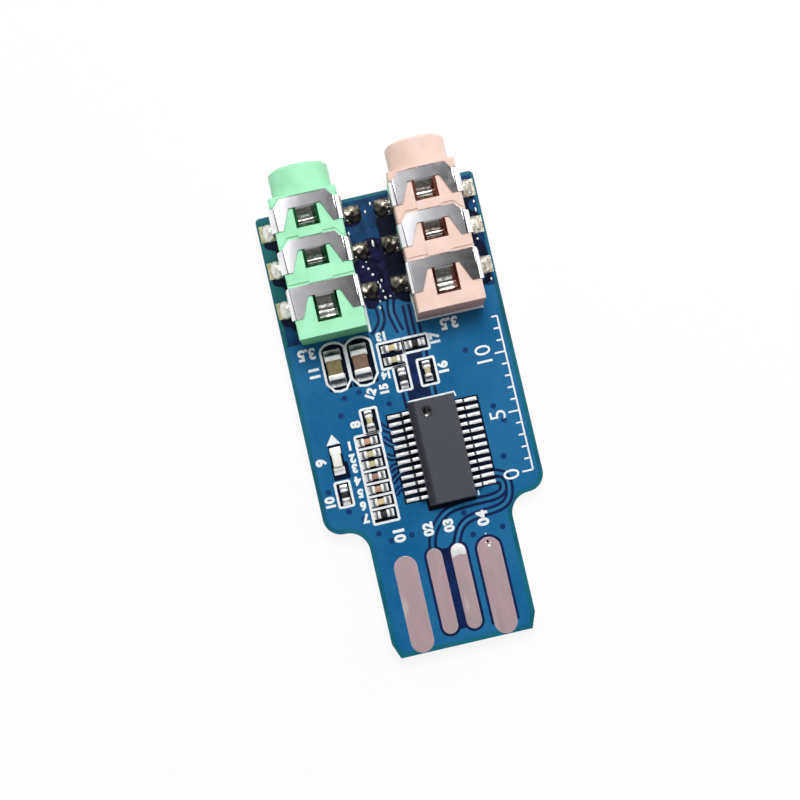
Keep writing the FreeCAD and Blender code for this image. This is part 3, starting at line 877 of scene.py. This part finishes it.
def arc(x, s, radius, start, turn, steps, flat=1.0):
    """Points of (x, s) on an arc between angles in degrees, flattened along the board."""
    angles = [math.radians(start + turn * step / steps) for step in range(steps + 1)]
    return [(x + radius * math.cos(angle), s + flat * radius * math.sin(angle)) for angle in angles]


def box_outline(x0, x1, s0, s1, radius=BOX_CORNER, steps=BOX_STEPS):
    """A rectangle with rounded corners, as points of (x, s)."""
    points = []
    corners = ((x1, s1, 0), (x0, s1, 90), (x0, s0, 180), (x1, s0, 270))
    for x, s, start in corners:
        middle_x = x - math.copysign(radius, x - (x0 + x1) / 2)
        middle_s = s - math.copysign(radius, s - (s0 + s1) / 2)
        points += arc(middle_x, middle_s, radius, start, 90, steps)
    return points


def soft_outline(corners):
    """An outline with its corners cut round, twice over."""
    for _ in range(2):
        ends = zip(corners, corners[1:] + corners[:1])
        corners = [
            tuple(share * a + (1 - share) * b for a, b in zip(start, end))
            for start, end in ends for share in (0.75, 0.25)
        ]
    return corners


def taken_mesh(curve):
    """A curve as a mesh. The curve is deleted."""
    holder = bpy.data.objects.new(curve.name, curve)
    mesh = bpy.data.meshes.new_from_object(holder)
    bpy.data.objects.remove(holder)
    bpy.data.curves.remove(curve)
    return mesh


def strips(routes, width, rise):
    """Lines drawn on the copper as low ridges, as a bmesh. A route is (points, closed, curved)."""
    curve = bpy.data.curves.new("strips", "CURVE")
    curve.dimensions = "3D"
    curve.bevel_depth = width / 2
    curve.bevel_resolution = 1
    curve.resolution_u = STRIP_STEPS
    curve.use_fill_caps = True
    for points, is_closed, is_curved in routes:
        spline = curve.splines.new("NURBS" if is_curved else "POLY")
        spline.points.add(len(points) - 1)
        for point, (x, s) in zip(spline.points, points):
            point.co = (x, plug_end + s, 0, 1)
        spline.use_cyclic_u = is_closed
        if is_curved:
            spline.order_u = 3
            spline.use_endpoint_u = True
    mesh = taken_mesh(curve)
    flattened = Matrix.Diagonal((1, 1, 2 * rise / width, 1))
    mesh.transform(Matrix.Translation((0, 0, deck + POUR_RISE)) @ flattened)
    bm = bmesh.new()
    bm.from_mesh(mesh)
    bpy.data.meshes.remove(mesh)
    return bm


def ridges(name, routes, width, rise, material):
    finished(name, strips(routes, width, rise), [material])


def straight(*points):
    return (list(points), False, False)


def curved(*points):
    return (list(points), False, True)


def closed(points):
    return (list(points), True, False)


# The board's copper, tracks and vias

def copper_pour():
    """The copper under the lacquer, set back from the board's edges and from the peg holes."""
    bm = cad_copy("circuit_board")
    bmesh.ops.triangulate(bm, faces=bm.faces)
    below = [
        face for face in bm.faces
        if face.normal.z < TOP_FACING or face.calc_center_median().z < deck - DECK_SLACK
    ]
    bmesh.ops.delete(bm, geom=below, context="FACES")
    rim = bmesh.ops.inset_region(
        bm, faces=bm.faces, thickness=COPPER_MARGIN, use_boundary=True, use_even_offset=True
    )
    bmesh.ops.delete(bm, geom=rim["faces"], context="FACES")
    lift(bm, bm.verts, -POUR_RISE)
    grown = bmesh.ops.extrude_face_region(bm, geom=bm.faces)
    lift(bm, new_verts(grown), 2 * POUR_RISE)
    finished("copper_pour", bm, [copper_lacquer])


def bare_patches():
    """Places without copper, where the lacquer looks dark, partly as painted shade; painted shadows and shade
    by the sockets and their joints; the bays between the sockets; and copper darkened as painted shade.
    """
    outlines = [box_outline(*box) for box in PATCHES] + [soft_outline(corners) for corners in DARKEST]
    # Painted shadows below the green socket's outer joints
    housing = node_box("output_jack_housing")[0].x
    for low, high in islands("output_jack_pads"):
        if high.x < housing:
            near = low.y - plug_end
            corners = [(low.x + share * (housing - low.x), near + along) for share, along in JOINT_SHADE]
            outlines.append(soft_outline(corners))
    plates("bare_patches", outlines, PATCH_RISE, bare_and_shade_lacquer)
    plates("bare_bay", [soft_outline(corners) for corners in BAYS], BAY_RISE, bay_lacquer)
    plates("clearings", [box_outline(*box) for box in CLEARINGS], DEEP_RISE, gap_lacquer)
    # Bare laminate beside the green socket, partly painted shade
    plates("left_edge", [box_outline(*LEFT_EDGE)], EDGE_RISE, edge_lacquer)
    # Copper darkened as painted shade
    plates("copper_shade", [box_outline(*box) for box in DEEP], DEEP_RISE, copper_shade_lacquer)


def contact_gap(node):
    """The gap in the copper round a contact. It stays open where the contact reaches the plug's end."""
    low, high = node_box(node)
    grow = GAP_WIDTH / 2
    radius = (high.x - low.x) / 2 + grow
    near = low.y - plug_end - grow
    far = high.y - plug_end + grow
    ring = box_outline(low.x - grow, high.x + grow, near, far, radius - RING_SLACK, RING_STEPS)
    if near > COPPER_MARGIN:
        return closed(ring)
    top = [(x, s) for x, s in ring if s > near + radius]
    return straight((high.x + grow, near + radius), *top, (low.x - grow, near + radius))


def tracks():
    """The tracks, each between two gaps in the copper, and the gaps round the contacts."""
    wide = [curved(*points) for points in CURVED_TRACKS] + [straight(*points) for points in STRAIGHT_TRACKS]
    fine = [straight(*points) for points in FINE_TRACKS]
    for name, routes, width in (("tracks", wide, TRACK_WIDTH), ("fine_tracks", fine, FINE_WIDTH)):
        ridges(name + "_gaps", routes, width + 2 * GAP_WIDTH, GAP_RISE, gap_lacquer)
        ridges(name, routes, width, TRACK_RISE, track_lacquer)
    rings = [contact_gap("usb_contact_" + contact) for contact in CONTACTS[1:]]
    ridges("contact_gaps", rings, GAP_WIDTH, GAP_RISE, gap_lacquer)


def vias():
    """Plated holes under the lacquer, each with a low rim and a hollow."""
    bm = bmesh.new()
    for x, s in VIAS:
        base = POUR_RISE / 2
        top = disc(bm, on_board(x, s, base), VIA_RADIUS, VIA_RISE - base, VIA_SIDES)
        bmesh.ops.inset_region(bm, faces=top, thickness=VIA_RADIUS - VIA_HOLE)
        lift(bm, top[0].verts, -VIA_HOLLOW)
    finished("vias", bm, [via_lacquer])


def contact_hole():
    """A dark disc at the top of the power contact, painted shade that stands for a small hole."""
    low, high = node_box("usb_contact_power")
    bm = bmesh.new()
    place = Vector(((low.x + high.x) / 2, high.y - CONTACT_HOLE_DOWN, high.z))
    disc(bm, place, VIA_HOLE, VIA_HOLLOW, CONTACT_HOLE_SIDES)
    finished("contact_hole", bm, [recess_shade_resin])


# White print

def capsule_outline(x0, x1, s0, s1):
    """The outline printed round a large capacitor: round at the top and cut at the bottom corners."""
    middle = (x0 + x1) / 2
    radius = (x1 - x0) / 2
    in_from_side, up_side = LARGE_CORNER
    points = arc(middle, s1 - radius * LARGE_CROWN, radius, 0, 180, LARGE_STEPS, LARGE_CROWN)
    points += [(x0, s0 + up_side), (x0 + in_from_side, s0 + LARGE_SAG), (middle, s0)]
    points += [(x1 - in_from_side, s0 + LARGE_SAG), (x1, s0 + up_side)]
    return points


def print_lines():
    """Outlines round the small parts and the sockets' footprints, and the light's arrow."""
    routes = [closed(box_outline(*box)) for box in PRINT_BOXES]
    routes += [closed(capsule_outline(*box)) for box in LARGE_BOXES]
    for upper, lower in zip(COLUMN, COLUMN[1:]):
        if upper != UNLINED:
            s = (node_box(upper + "_ends")[0].y + node_box(lower + "_ends")[1].y) / 2 - plug_end
            routes.append(straight((COLUMN_BOX[0], s), (COLUMN_BOX[1], s)))
    pink_low, pink_high = node_box("microphone_jack_housing")
    beside_pink = pink_low.x - PRINT_WIDTH / 2
    beside_green = node_box("output_jack_housing")[1].x + PRINT_WIDTH / 2
    rear = pink_low.y - plug_end - PRINT_WIDTH / 2
    routes.append(straight((beside_pink, PINK_LINE_END), (beside_pink, rear), (pink_high.x, rear)))
    routes.append(straight((beside_green, GREEN_LINE_END), (beside_green, rear)))
    bm = strips(routes, PRINT_WIDTH, PRINT_RISE)
    plate(bm, LIGHT_ARROW, 0, POUR_RISE + PRINT_RISE)
    finished("print_lines", bm, [ink])


def print_chip_line():
    """The line along the chip's far end and round its corner, and a short one at its near corner."""
    low, high = node_box("audio_chip_package")
    near = low.y - plug_end
    far = high.y - plug_end + CHIP_LINE_GAP
    side = high.x + CHIP_SIDE_GAP
    routes = [
        straight((low.x + CHIP_LINE_START, far), (side - CHIP_LINE_CUT, far), (side, far - CHIP_LINE_LEG)),
        straight((side, near + CHIP_LINE_LEG), (side, near)),
    ]
    ridges("print_chip_line", routes, TICK_WIDTH, PRINT_RISE, ink)


def numerals(rows, bold):
    """Plain numbers on the board, as a bmesh."""
    bm = bmesh.new()
    for text, x, s, size, turn in rows:
        curve = bpy.data.curves.new("numeral", "FONT")
        curve.body = text
        curve.size = size
        curve.offset = bold
        curve.extrude = PRINT_RISE
        curve.resolution_u = NUMERAL_STEPS
        curve.align_x = "CENTER"
        curve.align_y = "CENTER"
        mesh = taken_mesh(curve)
        turned = Matrix.Rotation(math.radians(turn), 4, "Z")
        mesh.transform(Matrix.Translation(on_board(x, s, POUR_RISE)) @ turned)
        bm.from_mesh(mesh)
        bpy.data.meshes.remove(mesh)
    bmesh.ops.remove_doubles(bm, verts=bm.verts, dist=FINE_MERGE)
    return bm


def print_numerals():
    """The numbers of the contacts, the parts and the sockets."""
    rows = list(NUMERALS)
    for number, name in enumerate(COLUMN, 1):
        s = sum(node_box(name + "_ends"), Vector()).y / 2 - plug_end
        rows.append((str(number), COLUMN_NUMERAL_X, s, COLUMN_NUMERAL_SIZE, COLUMN_NUMERAL_TURN))
    finished("print_numerals", numerals(rows, NUMERAL_BOLD), [ink])


def print_scale():
    """A plain millimetre scale along the board's edge, numbered at every fifth mark."""
    routes = []
    rows = []
    for step in range(SCALE_LENGTH + 1):
        s = SCALE_START + step
        numbered = step % SCALE_GROUP == 0
        routes.append(straight((SCALE_EDGE, s), (SCALE_EDGE - (SCALE_LONG if numbered else SCALE_SHORT), s)))
        if numbered:
            rows.append((str(step), SCALE_EDGE - SCALE_NUMBER_GAP, s, SCALE_NUMBER_SIZE, SCALE_NUMBER_TURN))
    routes.append(straight((SCALE_EDGE, SCALE_START), (SCALE_EDGE, SCALE_START + SCALE_LENGTH)))
    ridges("print_scale", routes, TICK_WIDTH, PRINT_RISE, ink)
    finished("print_scale_numbers", numerals(rows, 0.0), [ink])


# Solder

def mound(bm, low, high, height, shape, rounding=0.0):
    """A patch of solder over the box from low to high, raised by shape(u, v), with u and v from -1 to 1.

    A rounding of 0 leaves the box's corners square, and one of 1 makes the patch an ellipse.
    """
    known = set(bm.faces)
    grid = bmesh.ops.create_grid(bm, x_segments=MOUND_STEPS, y_segments=MOUND_STEPS, size=1.0)
    middle = (low + high) / 2
    half = (high - low) / 2
    faces = {face for vert in grid["verts"] for face in vert.link_faces}
    for vert in grid["verts"]:
        u, v = vert.co.x, vert.co.y
        across = u * math.sqrt(1 - rounding * v * v / 2)
        along = v * math.sqrt(1 - rounding * u * u / 2)
        vert.co = (middle.x + across * half.x, middle.y + along * half.y, high.z + height * shape(u, v))
    grown = bmesh.ops.extrude_face_region(bm, geom=list(faces))
    for vert in new_verts(grown):
        vert.co.z = low.z
    return [face for face in bm.faces if face not in known]


def dome(u, v):
    return (1 - abs(u) ** 3) * (1 - abs(v) ** 3)


def wedge(direction):
    """Highest at the part and falling away along direction in a hollow slope."""
    def shape(u, v):
        along = u * direction.x + v * direction.y
        across = u * direction.y - v * direction.x
        return ((1 - along) / 2) ** 1.6 * (1 - abs(across) ** 4)
    return shape


def blob(outward, phase):
    """Full at the leg that it holds and falling to the outer edge, with an uneven skin."""
    def shape(u, v):
        out = (1 + u * outward) / 2
        lump = (1 - out ** 4) * (1 - abs(v) ** 3)
        wave = math.sin(5 * u + phase) * math.cos(4 * v - phase)
        return lump * (1 - JOINT_UNEVEN + JOINT_UNEVEN * wave)
    return shape


def jack_solder(jack):
    """The joints of one socket: bright along the board's edge, and between the sockets painted light on the
    side towards the mouths and painted shade on the rest.
    """
    bm = bmesh.new()
    middle = sum(node_box(jack + "_jack_housing"), Vector()) / 2
    for number, (low, high) in enumerate(islands(jack + "_jack_solder")):
        centre = (low.x + high.x) / 2
        outward = math.copysign(1, centre - middle.x)
        outer = abs(centre) > abs(middle.x)
        lower = low - Vector((JOINT_SPREAD, JOINT_SPREAD, SOLDER_SINK))
        upper = Vector((high.x + JOINT_SPREAD, high.y + JOINT_SPREAD, low.z))
        if outer and outward < 0:
            lower.x = low.x + PAD_STRIP
        elif outer:
            upper.x = high.x - PAD_STRIP
        height = (high.z - low.z) * JOINT_RISE
        faces = mound(bm, lower, upper, height, blob(outward, JOINT_PHASE * number), JOINT_ROUNDING)
        for face in faces:
            face.material_index = 0 if outer else 1
    bright = finishes["solder"] if jack == "output" else pale_solder
    piece = finished(jack + "_jack_joints", bm, [bright, lit_and_shaded_solder], SOLDER_ANGLE)
    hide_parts(jack + "_jack_solder")

    def inner(place, normal):
        return abs(place.x) < abs(middle.x)

    pads = rounded_copy(jack + "_jack_pads", PAD_ROUNDING, None if jack == "output" else pale_solder)
    # The pads between the sockets take the same painted light and shade
    second_finish(pads, lit_and_shaded_solder, inner)


def small_part_names():
    return sorted(node[:-len("_ends")] for node in nodes if node.endswith("_ends"))


def pad_bed(low, high):
    """The box that solder covers on a pad, a little inside its edges and sunk into its top."""
    lower = Vector((low.x + SOLDER_SINK, low.y + SOLDER_SINK, high.z - SOLDER_SINK))
    upper = Vector((high.x - SOLDER_SINK, high.y - SOLDER_SINK, high.z))
    return lower, upper


def meets(low, high, part_low, part_high):
    """Whether a pad lies under a part or within reach of it."""
    return all(
        part_low[axis] - PAD_REACH < high[axis] and low[axis] < part_high[axis] + PAD_REACH for axis in (0, 1)
    )


def small_part_solder():
    """A hollow slope of solder from each plated end to the outer edge of its pad."""
    bm = bmesh.new()
    parts = {name: node_box(name + "_ends") for name in small_part_names()}
    for low, high in islands("small_part_pads"):
        for name, (part_low, part_high) in parts.items():
            if not meets(low, high, part_low, part_high):
                continue
            away = (low + high) / 2 - (part_low + part_high) / 2
            axis = 0 if abs(away.x) > abs(away.y) else 1
            direction = Vector((0, 0))
            direction[axis] = math.copysign(1, away[axis])
            lower, upper = pad_bed(low, high)
            if away[axis] > 0:
                lower[axis] = part_high[axis] - END_LAP
            else:
                upper[axis] = part_low[axis] + END_LAP
            slope = mound(bm, lower, upper, (part_high.z - part_low.z) * END_RISE, wedge(direction))
            for face in slope:
                face.material_index = 1 if name == "status_light" else 0
    finished("small_part_solder", bm, [fillet_solder, white_tin], SOLDER_ANGLE)


def lead_solder():
    """Solder round the foot of each lead, from its heel outwards."""
    bm = bmesh.new()
    chip_low, chip_high = node_box("audio_chip_leads")
    for low, high in islands("audio_chip_pads"):
        lower, upper = pad_bed(low, high)
        if low.x < chip_low.x:
            upper.x = chip_low.x + LEAD_FOOT
        else:
            lower.x = chip_high.x - LEAD_FOOT
        mound(bm, lower, upper, LEAD_HEIGHT, dome, LEAD_MOUND_ROUNDING)
    finished("lead_solder", bm, [finishes["tin_plate"]], SOLDER_ANGLE)


def speck(bm, x, s, z, width, length):
    """A flattened drop of solder."""
    place = Matrix.Translation(on_board(x, s, z))
    flattened = Matrix.Diagonal((width, length, width * SPECK_FLATNESS, 1))
    bmesh.ops.create_icosphere(bm, subdivisions=2, radius=1.0, matrix=place @ flattened)


def solder_specks():
    """Splashes between the sockets' joints and at the top of the power contact."""
    bm = bmesh.new()
    for x, s, width, length in SPLASHES:
        speck(bm, x, s, PATCH_RISE, width, length)
    low, high = node_box("usb_contact_power")
    for across, along, radius in POWER_SPLASHES:
        x = (low.x + high.x) / 2 + across
        speck(bm, x, high.y - plug_end + along, high.z - deck, radius, radius)
    finished("solder_specks", bm, [finishes["solder"]], SOLDER_ANGLE)


def contact_tinning():
    """A film of solder on the round end of one data contact."""
    low, high = node_box("usb_contact_data_minus")
    middle = (low.x + high.x) / 2
    radius = (high.x - low.x) / 2 - TINNING_MARGIN
    centre = high.y - plug_end - radius - TINNING_MARGIN
    left, inside, right = TINNING_ENDS
    outline = arc(middle, centre, radius, 0, 180, TINNING_STEPS)
    ends = ((-radius, left), (0.0, inside), (radius, right))
    outline += [(middle + across, centre - length) for across, length in ends]
    copper = high.z - deck
    bm = bmesh.new()
    plate(bm, outline, copper - SOLDER_SINK, copper + TINNING_HEIGHT)
    edges = [edge for edge in bm.edges if all(vert.co.z > high.z for vert in edge.verts)]
    round_edges(bm, edges, TINNING_ROUNDING, TINNING_SEGMENTS, False)
    finished("contact_tinning", bm, [finishes["tin_plate"]], SOLDER_ANGLE)


# Sockets and chip

def jack_housing(jack):
    """A socket's moulding, with painted shade on its rear wall, in its bore and windows, and in the seams
    round its clips, each a darker copy of its plastic.
    """
    node = jack + "_jack_housing"
    low, high = node_box(node)
    axis = (low.x + high.x) / 2
    bore_height = (deck + high.z) / 2
    nose_back = high.y - NOSE_LENGTH

    def on_rear_wall(middle, normal):
        return normal.y < -REAR_FACING and middle.y < low.y + REAR_DEPTH

    def in_bore(middle, normal):
        out = math.hypot(middle.x - axis, middle.z - bore_height)
        return out < BORE_RADIUS + BORE_SLACK and abs(normal.y) < STEEP_FACING

    def in_window(middle, normal):
        beside_spring = abs(middle.x - axis) < WINDOW_HALF + WINDOW_SLACK and middle.y > low.y + REAR_DEPTH
        above_bore = WINDOW_FLOOR < middle.z - bore_height < WINDOW_RIM
        return beside_spring and above_bore and normal.z < STEEP_FACING

    def in_seam(middle, normal):
        beside_clip = abs(middle.x - axis) < high.x - axis - SEAM_INSET
        behind_nose = middle.y < nose_back - SEAM_END
        below_top = SEAM_DEPTHS[0] < high.z - middle.z < SEAM_DEPTHS[1]
        return beside_clip and behind_nose and below_top and normal.z < SEAM_FACING

    def round_nose(bm):
        for ring in range(1, NOSE_RINGS):
            place = Vector((axis, nose_back + ring * NOSE_LENGTH / NOSE_RINGS, bore_height))
            faces = [face for face in bm.faces if face.calc_center_median().y > nose_back]
            edges = {edge for face in faces for edge in face.edges}
            verts = {vert for face in faces for vert in face.verts}
            bmesh.ops.bisect_plane(
                bm, geom=[*verts, *edges, *faces], dist=FINE_MERGE, plane_co=place, plane_no=Vector((0, 1, 0))
            )
        for vert in bm.verts:
            out = Vector((vert.co.x - axis, 0, vert.co.z - bore_height))
            for radius in (NOSE_RADIUS, BORE_RADIUS):
                if vert.co.y > nose_back + NOSE_START and 0 < radius - out.length < NOSE_SLACK:
                    vert.co += out * (radius / out.length - 1)

    piece = rounded_copy(node, HOUSING_ROUNDING, detail=round_nose)
    tests = {"rear": on_rear_wall, "bore": in_bore, "window": in_window, "seam": in_seam}
    for place, inside in tests.items():
        second_finish(piece, socket_shade_finishes[jack, place], inside)


def contact_clip(jack, clip):
    """A clip, with a painted highlight on its bends, and painted shade and highlights on the spring that dips
    into the bore.
    """
    node = f"{jack}_jack_{clip}_clip"
    low, high = node_box(node)
    axis = (low.x + high.x) / 2

    def bent(middle, normal):
        return normal.z < CLIP_FACING

    def on_spring(middle, normal):
        return abs(middle.x - axis) < WINDOW_HALF and middle.z < high.z - SPRING_DROP

    piece = rounded_copy(node, CLIP_ROUNDING, clip_finishes[jack, clip])
    # Painted highlight on the bends and flanges
    second_finish(piece, bend_highlight, bent)
    second_finish(piece, spring_finishes[jack], on_spring)


def chip_package():
    """The package, with a glossy dimple whose floor is a shallow dish, painted dark as shade."""
    low, high = node_box("audio_chip_package")

    def in_dimple(middle, normal):
        across = middle.x - low.x
        along = high.y - middle.y
        near_corner = DIMPLE_CORNER > across > CHIP_BEVEL and along < DIMPLE_CORNER
        return near_corner and DIMPLE_DEPTHS[0] < high.z - middle.z < DIMPLE_DEPTHS[1]

    def dish(bm):
        bm.faces.ensure_lookup_table()
        floors = [
            face for face in bm.faces
            if face.normal.z > DIMPLE_FACING and in_dimple(face.calc_center_median(), face.normal)
        ]
        for drop in DIMPLE_DROPS:
            bmesh.ops.inset_region(bm, faces=floors, thickness=DIMPLE_STEP, use_even_offset=True)
            lift(bm, list({vert for face in floors for vert in face.verts}), -drop)

    piece = rounded_copy("audio_chip_package", CHIP_ROUNDING, detail=dish)
    # Painted shade in the dimple
    second_finish(piece, recess_shade_resin, in_dimple)


def chip_leads():
    """The leads, bright on top, with painted shade on their sides and slopes."""
    def side(middle, normal):
        return abs(normal.z) < LEAD_FACING

    second_finish(rounded_copy("audio_chip_leads", LEAD_ROUNDING), lead_shade, side)


# Assembly

def assemble():
    for node, piece in nodes.items():
        piece.data.materials.clear()
        piece.data.materials.append(finishes[slot_of[node]])
    copper_pour()
    bare_patches()
    tracks()
    vias()
    contact_hole()
    print_lines()
    print_chip_line()
    print_numerals()
    print_scale()
    for jack in JACKS:
        jack_housing(jack)
        for clip in CLIPS:
            contact_clip(jack, clip)
        jack_solder(jack)
    for contact in CONTACTS:
        rounded_copy("usb_contact_" + contact, CONTACT_ROUNDING)
    chip_package()
    chip_leads()
    for name in small_part_names():
        rounded_copy(name + "_ends", END_ROUNDING, white_tin if name == "status_light" else None)
        rounded_copy(name + "_body", BODY_ROUNDING, large_finishes.get(name))
    rounded_copy("status_light_lens", LENS_ROUNDING)
    small_part_solder()
    lead_solder()
    solder_specks()
    contact_tinning()


# Floor, light and camera

def floor_finish():
    """White where it is seen or mirrored, and plain pale to the lamps, so that it keeps the shadow."""
    material = bpy.data.materials.new("floor")
    material.use_nodes = True
    material.node_tree.nodes.clear()
    wiring = Wiring(material.node_tree)
    pale = wiring.add("ShaderNodeBsdfDiffuse")
    pale.inputs["Color"].default_value = (FLOOR_TONE, FLOOR_TONE, FLOOR_TONE, 1)
    white = wiring.add("ShaderNodeEmission")
    blend = wiring.add("ShaderNodeMixShader")
    away = wiring.add("ShaderNodeVectorMath")
    away.operation = "LENGTH"
    wiring.join(wiring.add("ShaderNodeTexCoord").outputs["Object"], away.inputs[0])
    near, far = SHADOW_NEAR * MM, SHADOW_FAR * MM
    share = wiring.levels(away.outputs["Value"], 1 - SHADOW_SHARE, 1.0, near, far)
    wiring.join(wiring.sum_up("MULTIPLY", wiring.seen(), share), blend.inputs[0])
    wiring.join(pale.outputs[0], blend.inputs[1])
    wiring.join(white.outputs[0], blend.inputs[2])
    wiring.join(blend.outputs[0], wiring.add("ShaderNodeOutputMaterial").inputs["Surface"])
    return material


def floor():
    bm = bmesh.new()
    place = Matrix.Translation((0, 0, -FLOOR_DROP * MM))
    bmesh.ops.create_grid(bm, x_segments=1, y_segments=1, size=FLOOR_SIZE / 2 * MM, matrix=place)
    mesh = bpy.data.meshes.new("floor")
    bm.to_mesh(mesh)
    bm.free()
    mesh.materials.append(floor_finish())
    piece = bpy.data.objects.new("floor", mesh)
    bpy.context.scene.collection.objects.link(piece)


def lamp(name, place, size, share, lights=True, glints=True):
    """A square soft lamp that adds about the given share of full light at the board's middle.

    One that doesn't light is seen in gloss alone, and one that doesn't glint is left out of gloss.
    """
    away = Vector(place)
    data = bpy.data.lights.new(name, "AREA")
    data.size = size * MM
    data.energy = share * (math.pi * away.length * MM) ** 2
    holder = bpy.data.objects.new(name, data)
    holder.visible_diffuse = lights
    holder.visible_glossy = glints
    holder.location = away * MM
    holder.rotation_euler = (-away).to_track_quat("-Z", "Y").to_euler()
    bpy.context.scene.collection.objects.link(holder)


def world():
    """A studio: a white backdrop, walls lit from the far side, and a ceiling that is bright on the left.

    A dark beam runs along the bright part of the ceiling.
    """
    room = bpy.data.worlds.new("room")
    room.use_nodes = True
    wiring = Wiring(room.node_tree)
    direction = wiring.axes(wiring.add("ShaderNodeTexCoord").outputs["Generated"])
    walls = wiring.levels(direction["Y"], *WALLS)
    ceiling = wiring.levels(direction["X"], *CEILING)
    ceiling = wiring.sum_up("MULTIPLY", ceiling, wiring.levels(direction["Y"], *CEILING_DEPTH))
    beside_beam = [wiring.levels(direction["X"], *side) for side in (LEFT_OF_BEAM, RIGHT_OF_BEAM)]
    ceiling = wiring.sum_up("MULTIPLY", ceiling, wiring.sum_up("MAXIMUM", *beside_beam))
    light = wiring.levels(direction["Z"], walls, ceiling, *CEILING_EDGE)
    backdrop = wiring.sum_up("MULTIPLY", wiring.levels(direction["Z"], *BACKDROP), wiring.seen())
    background = room.node_tree.nodes["Background"]
    background.inputs["Color"].default_value = (1, 1, 1, 1)
    wiring.join(wiring.sum_up("MAXIMUM", light, backdrop), background.inputs["Strength"])
    bpy.context.scene.world = room


def camera():
    data = bpy.data.cameras.new("camera")
    data.lens = CAMERA_LENS
    data.sensor_width = CAMERA_SENSOR
    data.clip_start = CAMERA_NEAREST * MM
    place, target = [Vector((x, plug_end + s, z)) for x, s, z in (CAMERA_PLACE, CAMERA_TARGET)]
    look = (target - place).normalized()
    right = look.cross(Vector((0, 1, 0))).normalized()
    up = right.cross(look)
    turn = Matrix.Rotation(CAMERA_ROLL, 3, -look)
    axes = Matrix((turn @ right, turn @ up, -look)).transposed()
    holder = bpy.data.objects.new("camera", data)
    holder.matrix_world = Matrix.Translation(place * MM) @ axes.to_4x4()
    bpy.context.scene.collection.objects.link(holder)
    bpy.context.scene.camera = holder


assemble()
floor()
world()
lamp("key", *KEY, glints=False)
lamp("glint", *GLINT, lights=False)
lamp("fill", *FILL)
lamp("softbox", *SOFTBOX)
camera()
bpy.context.scene.view_settings.view_transform = "Standard"
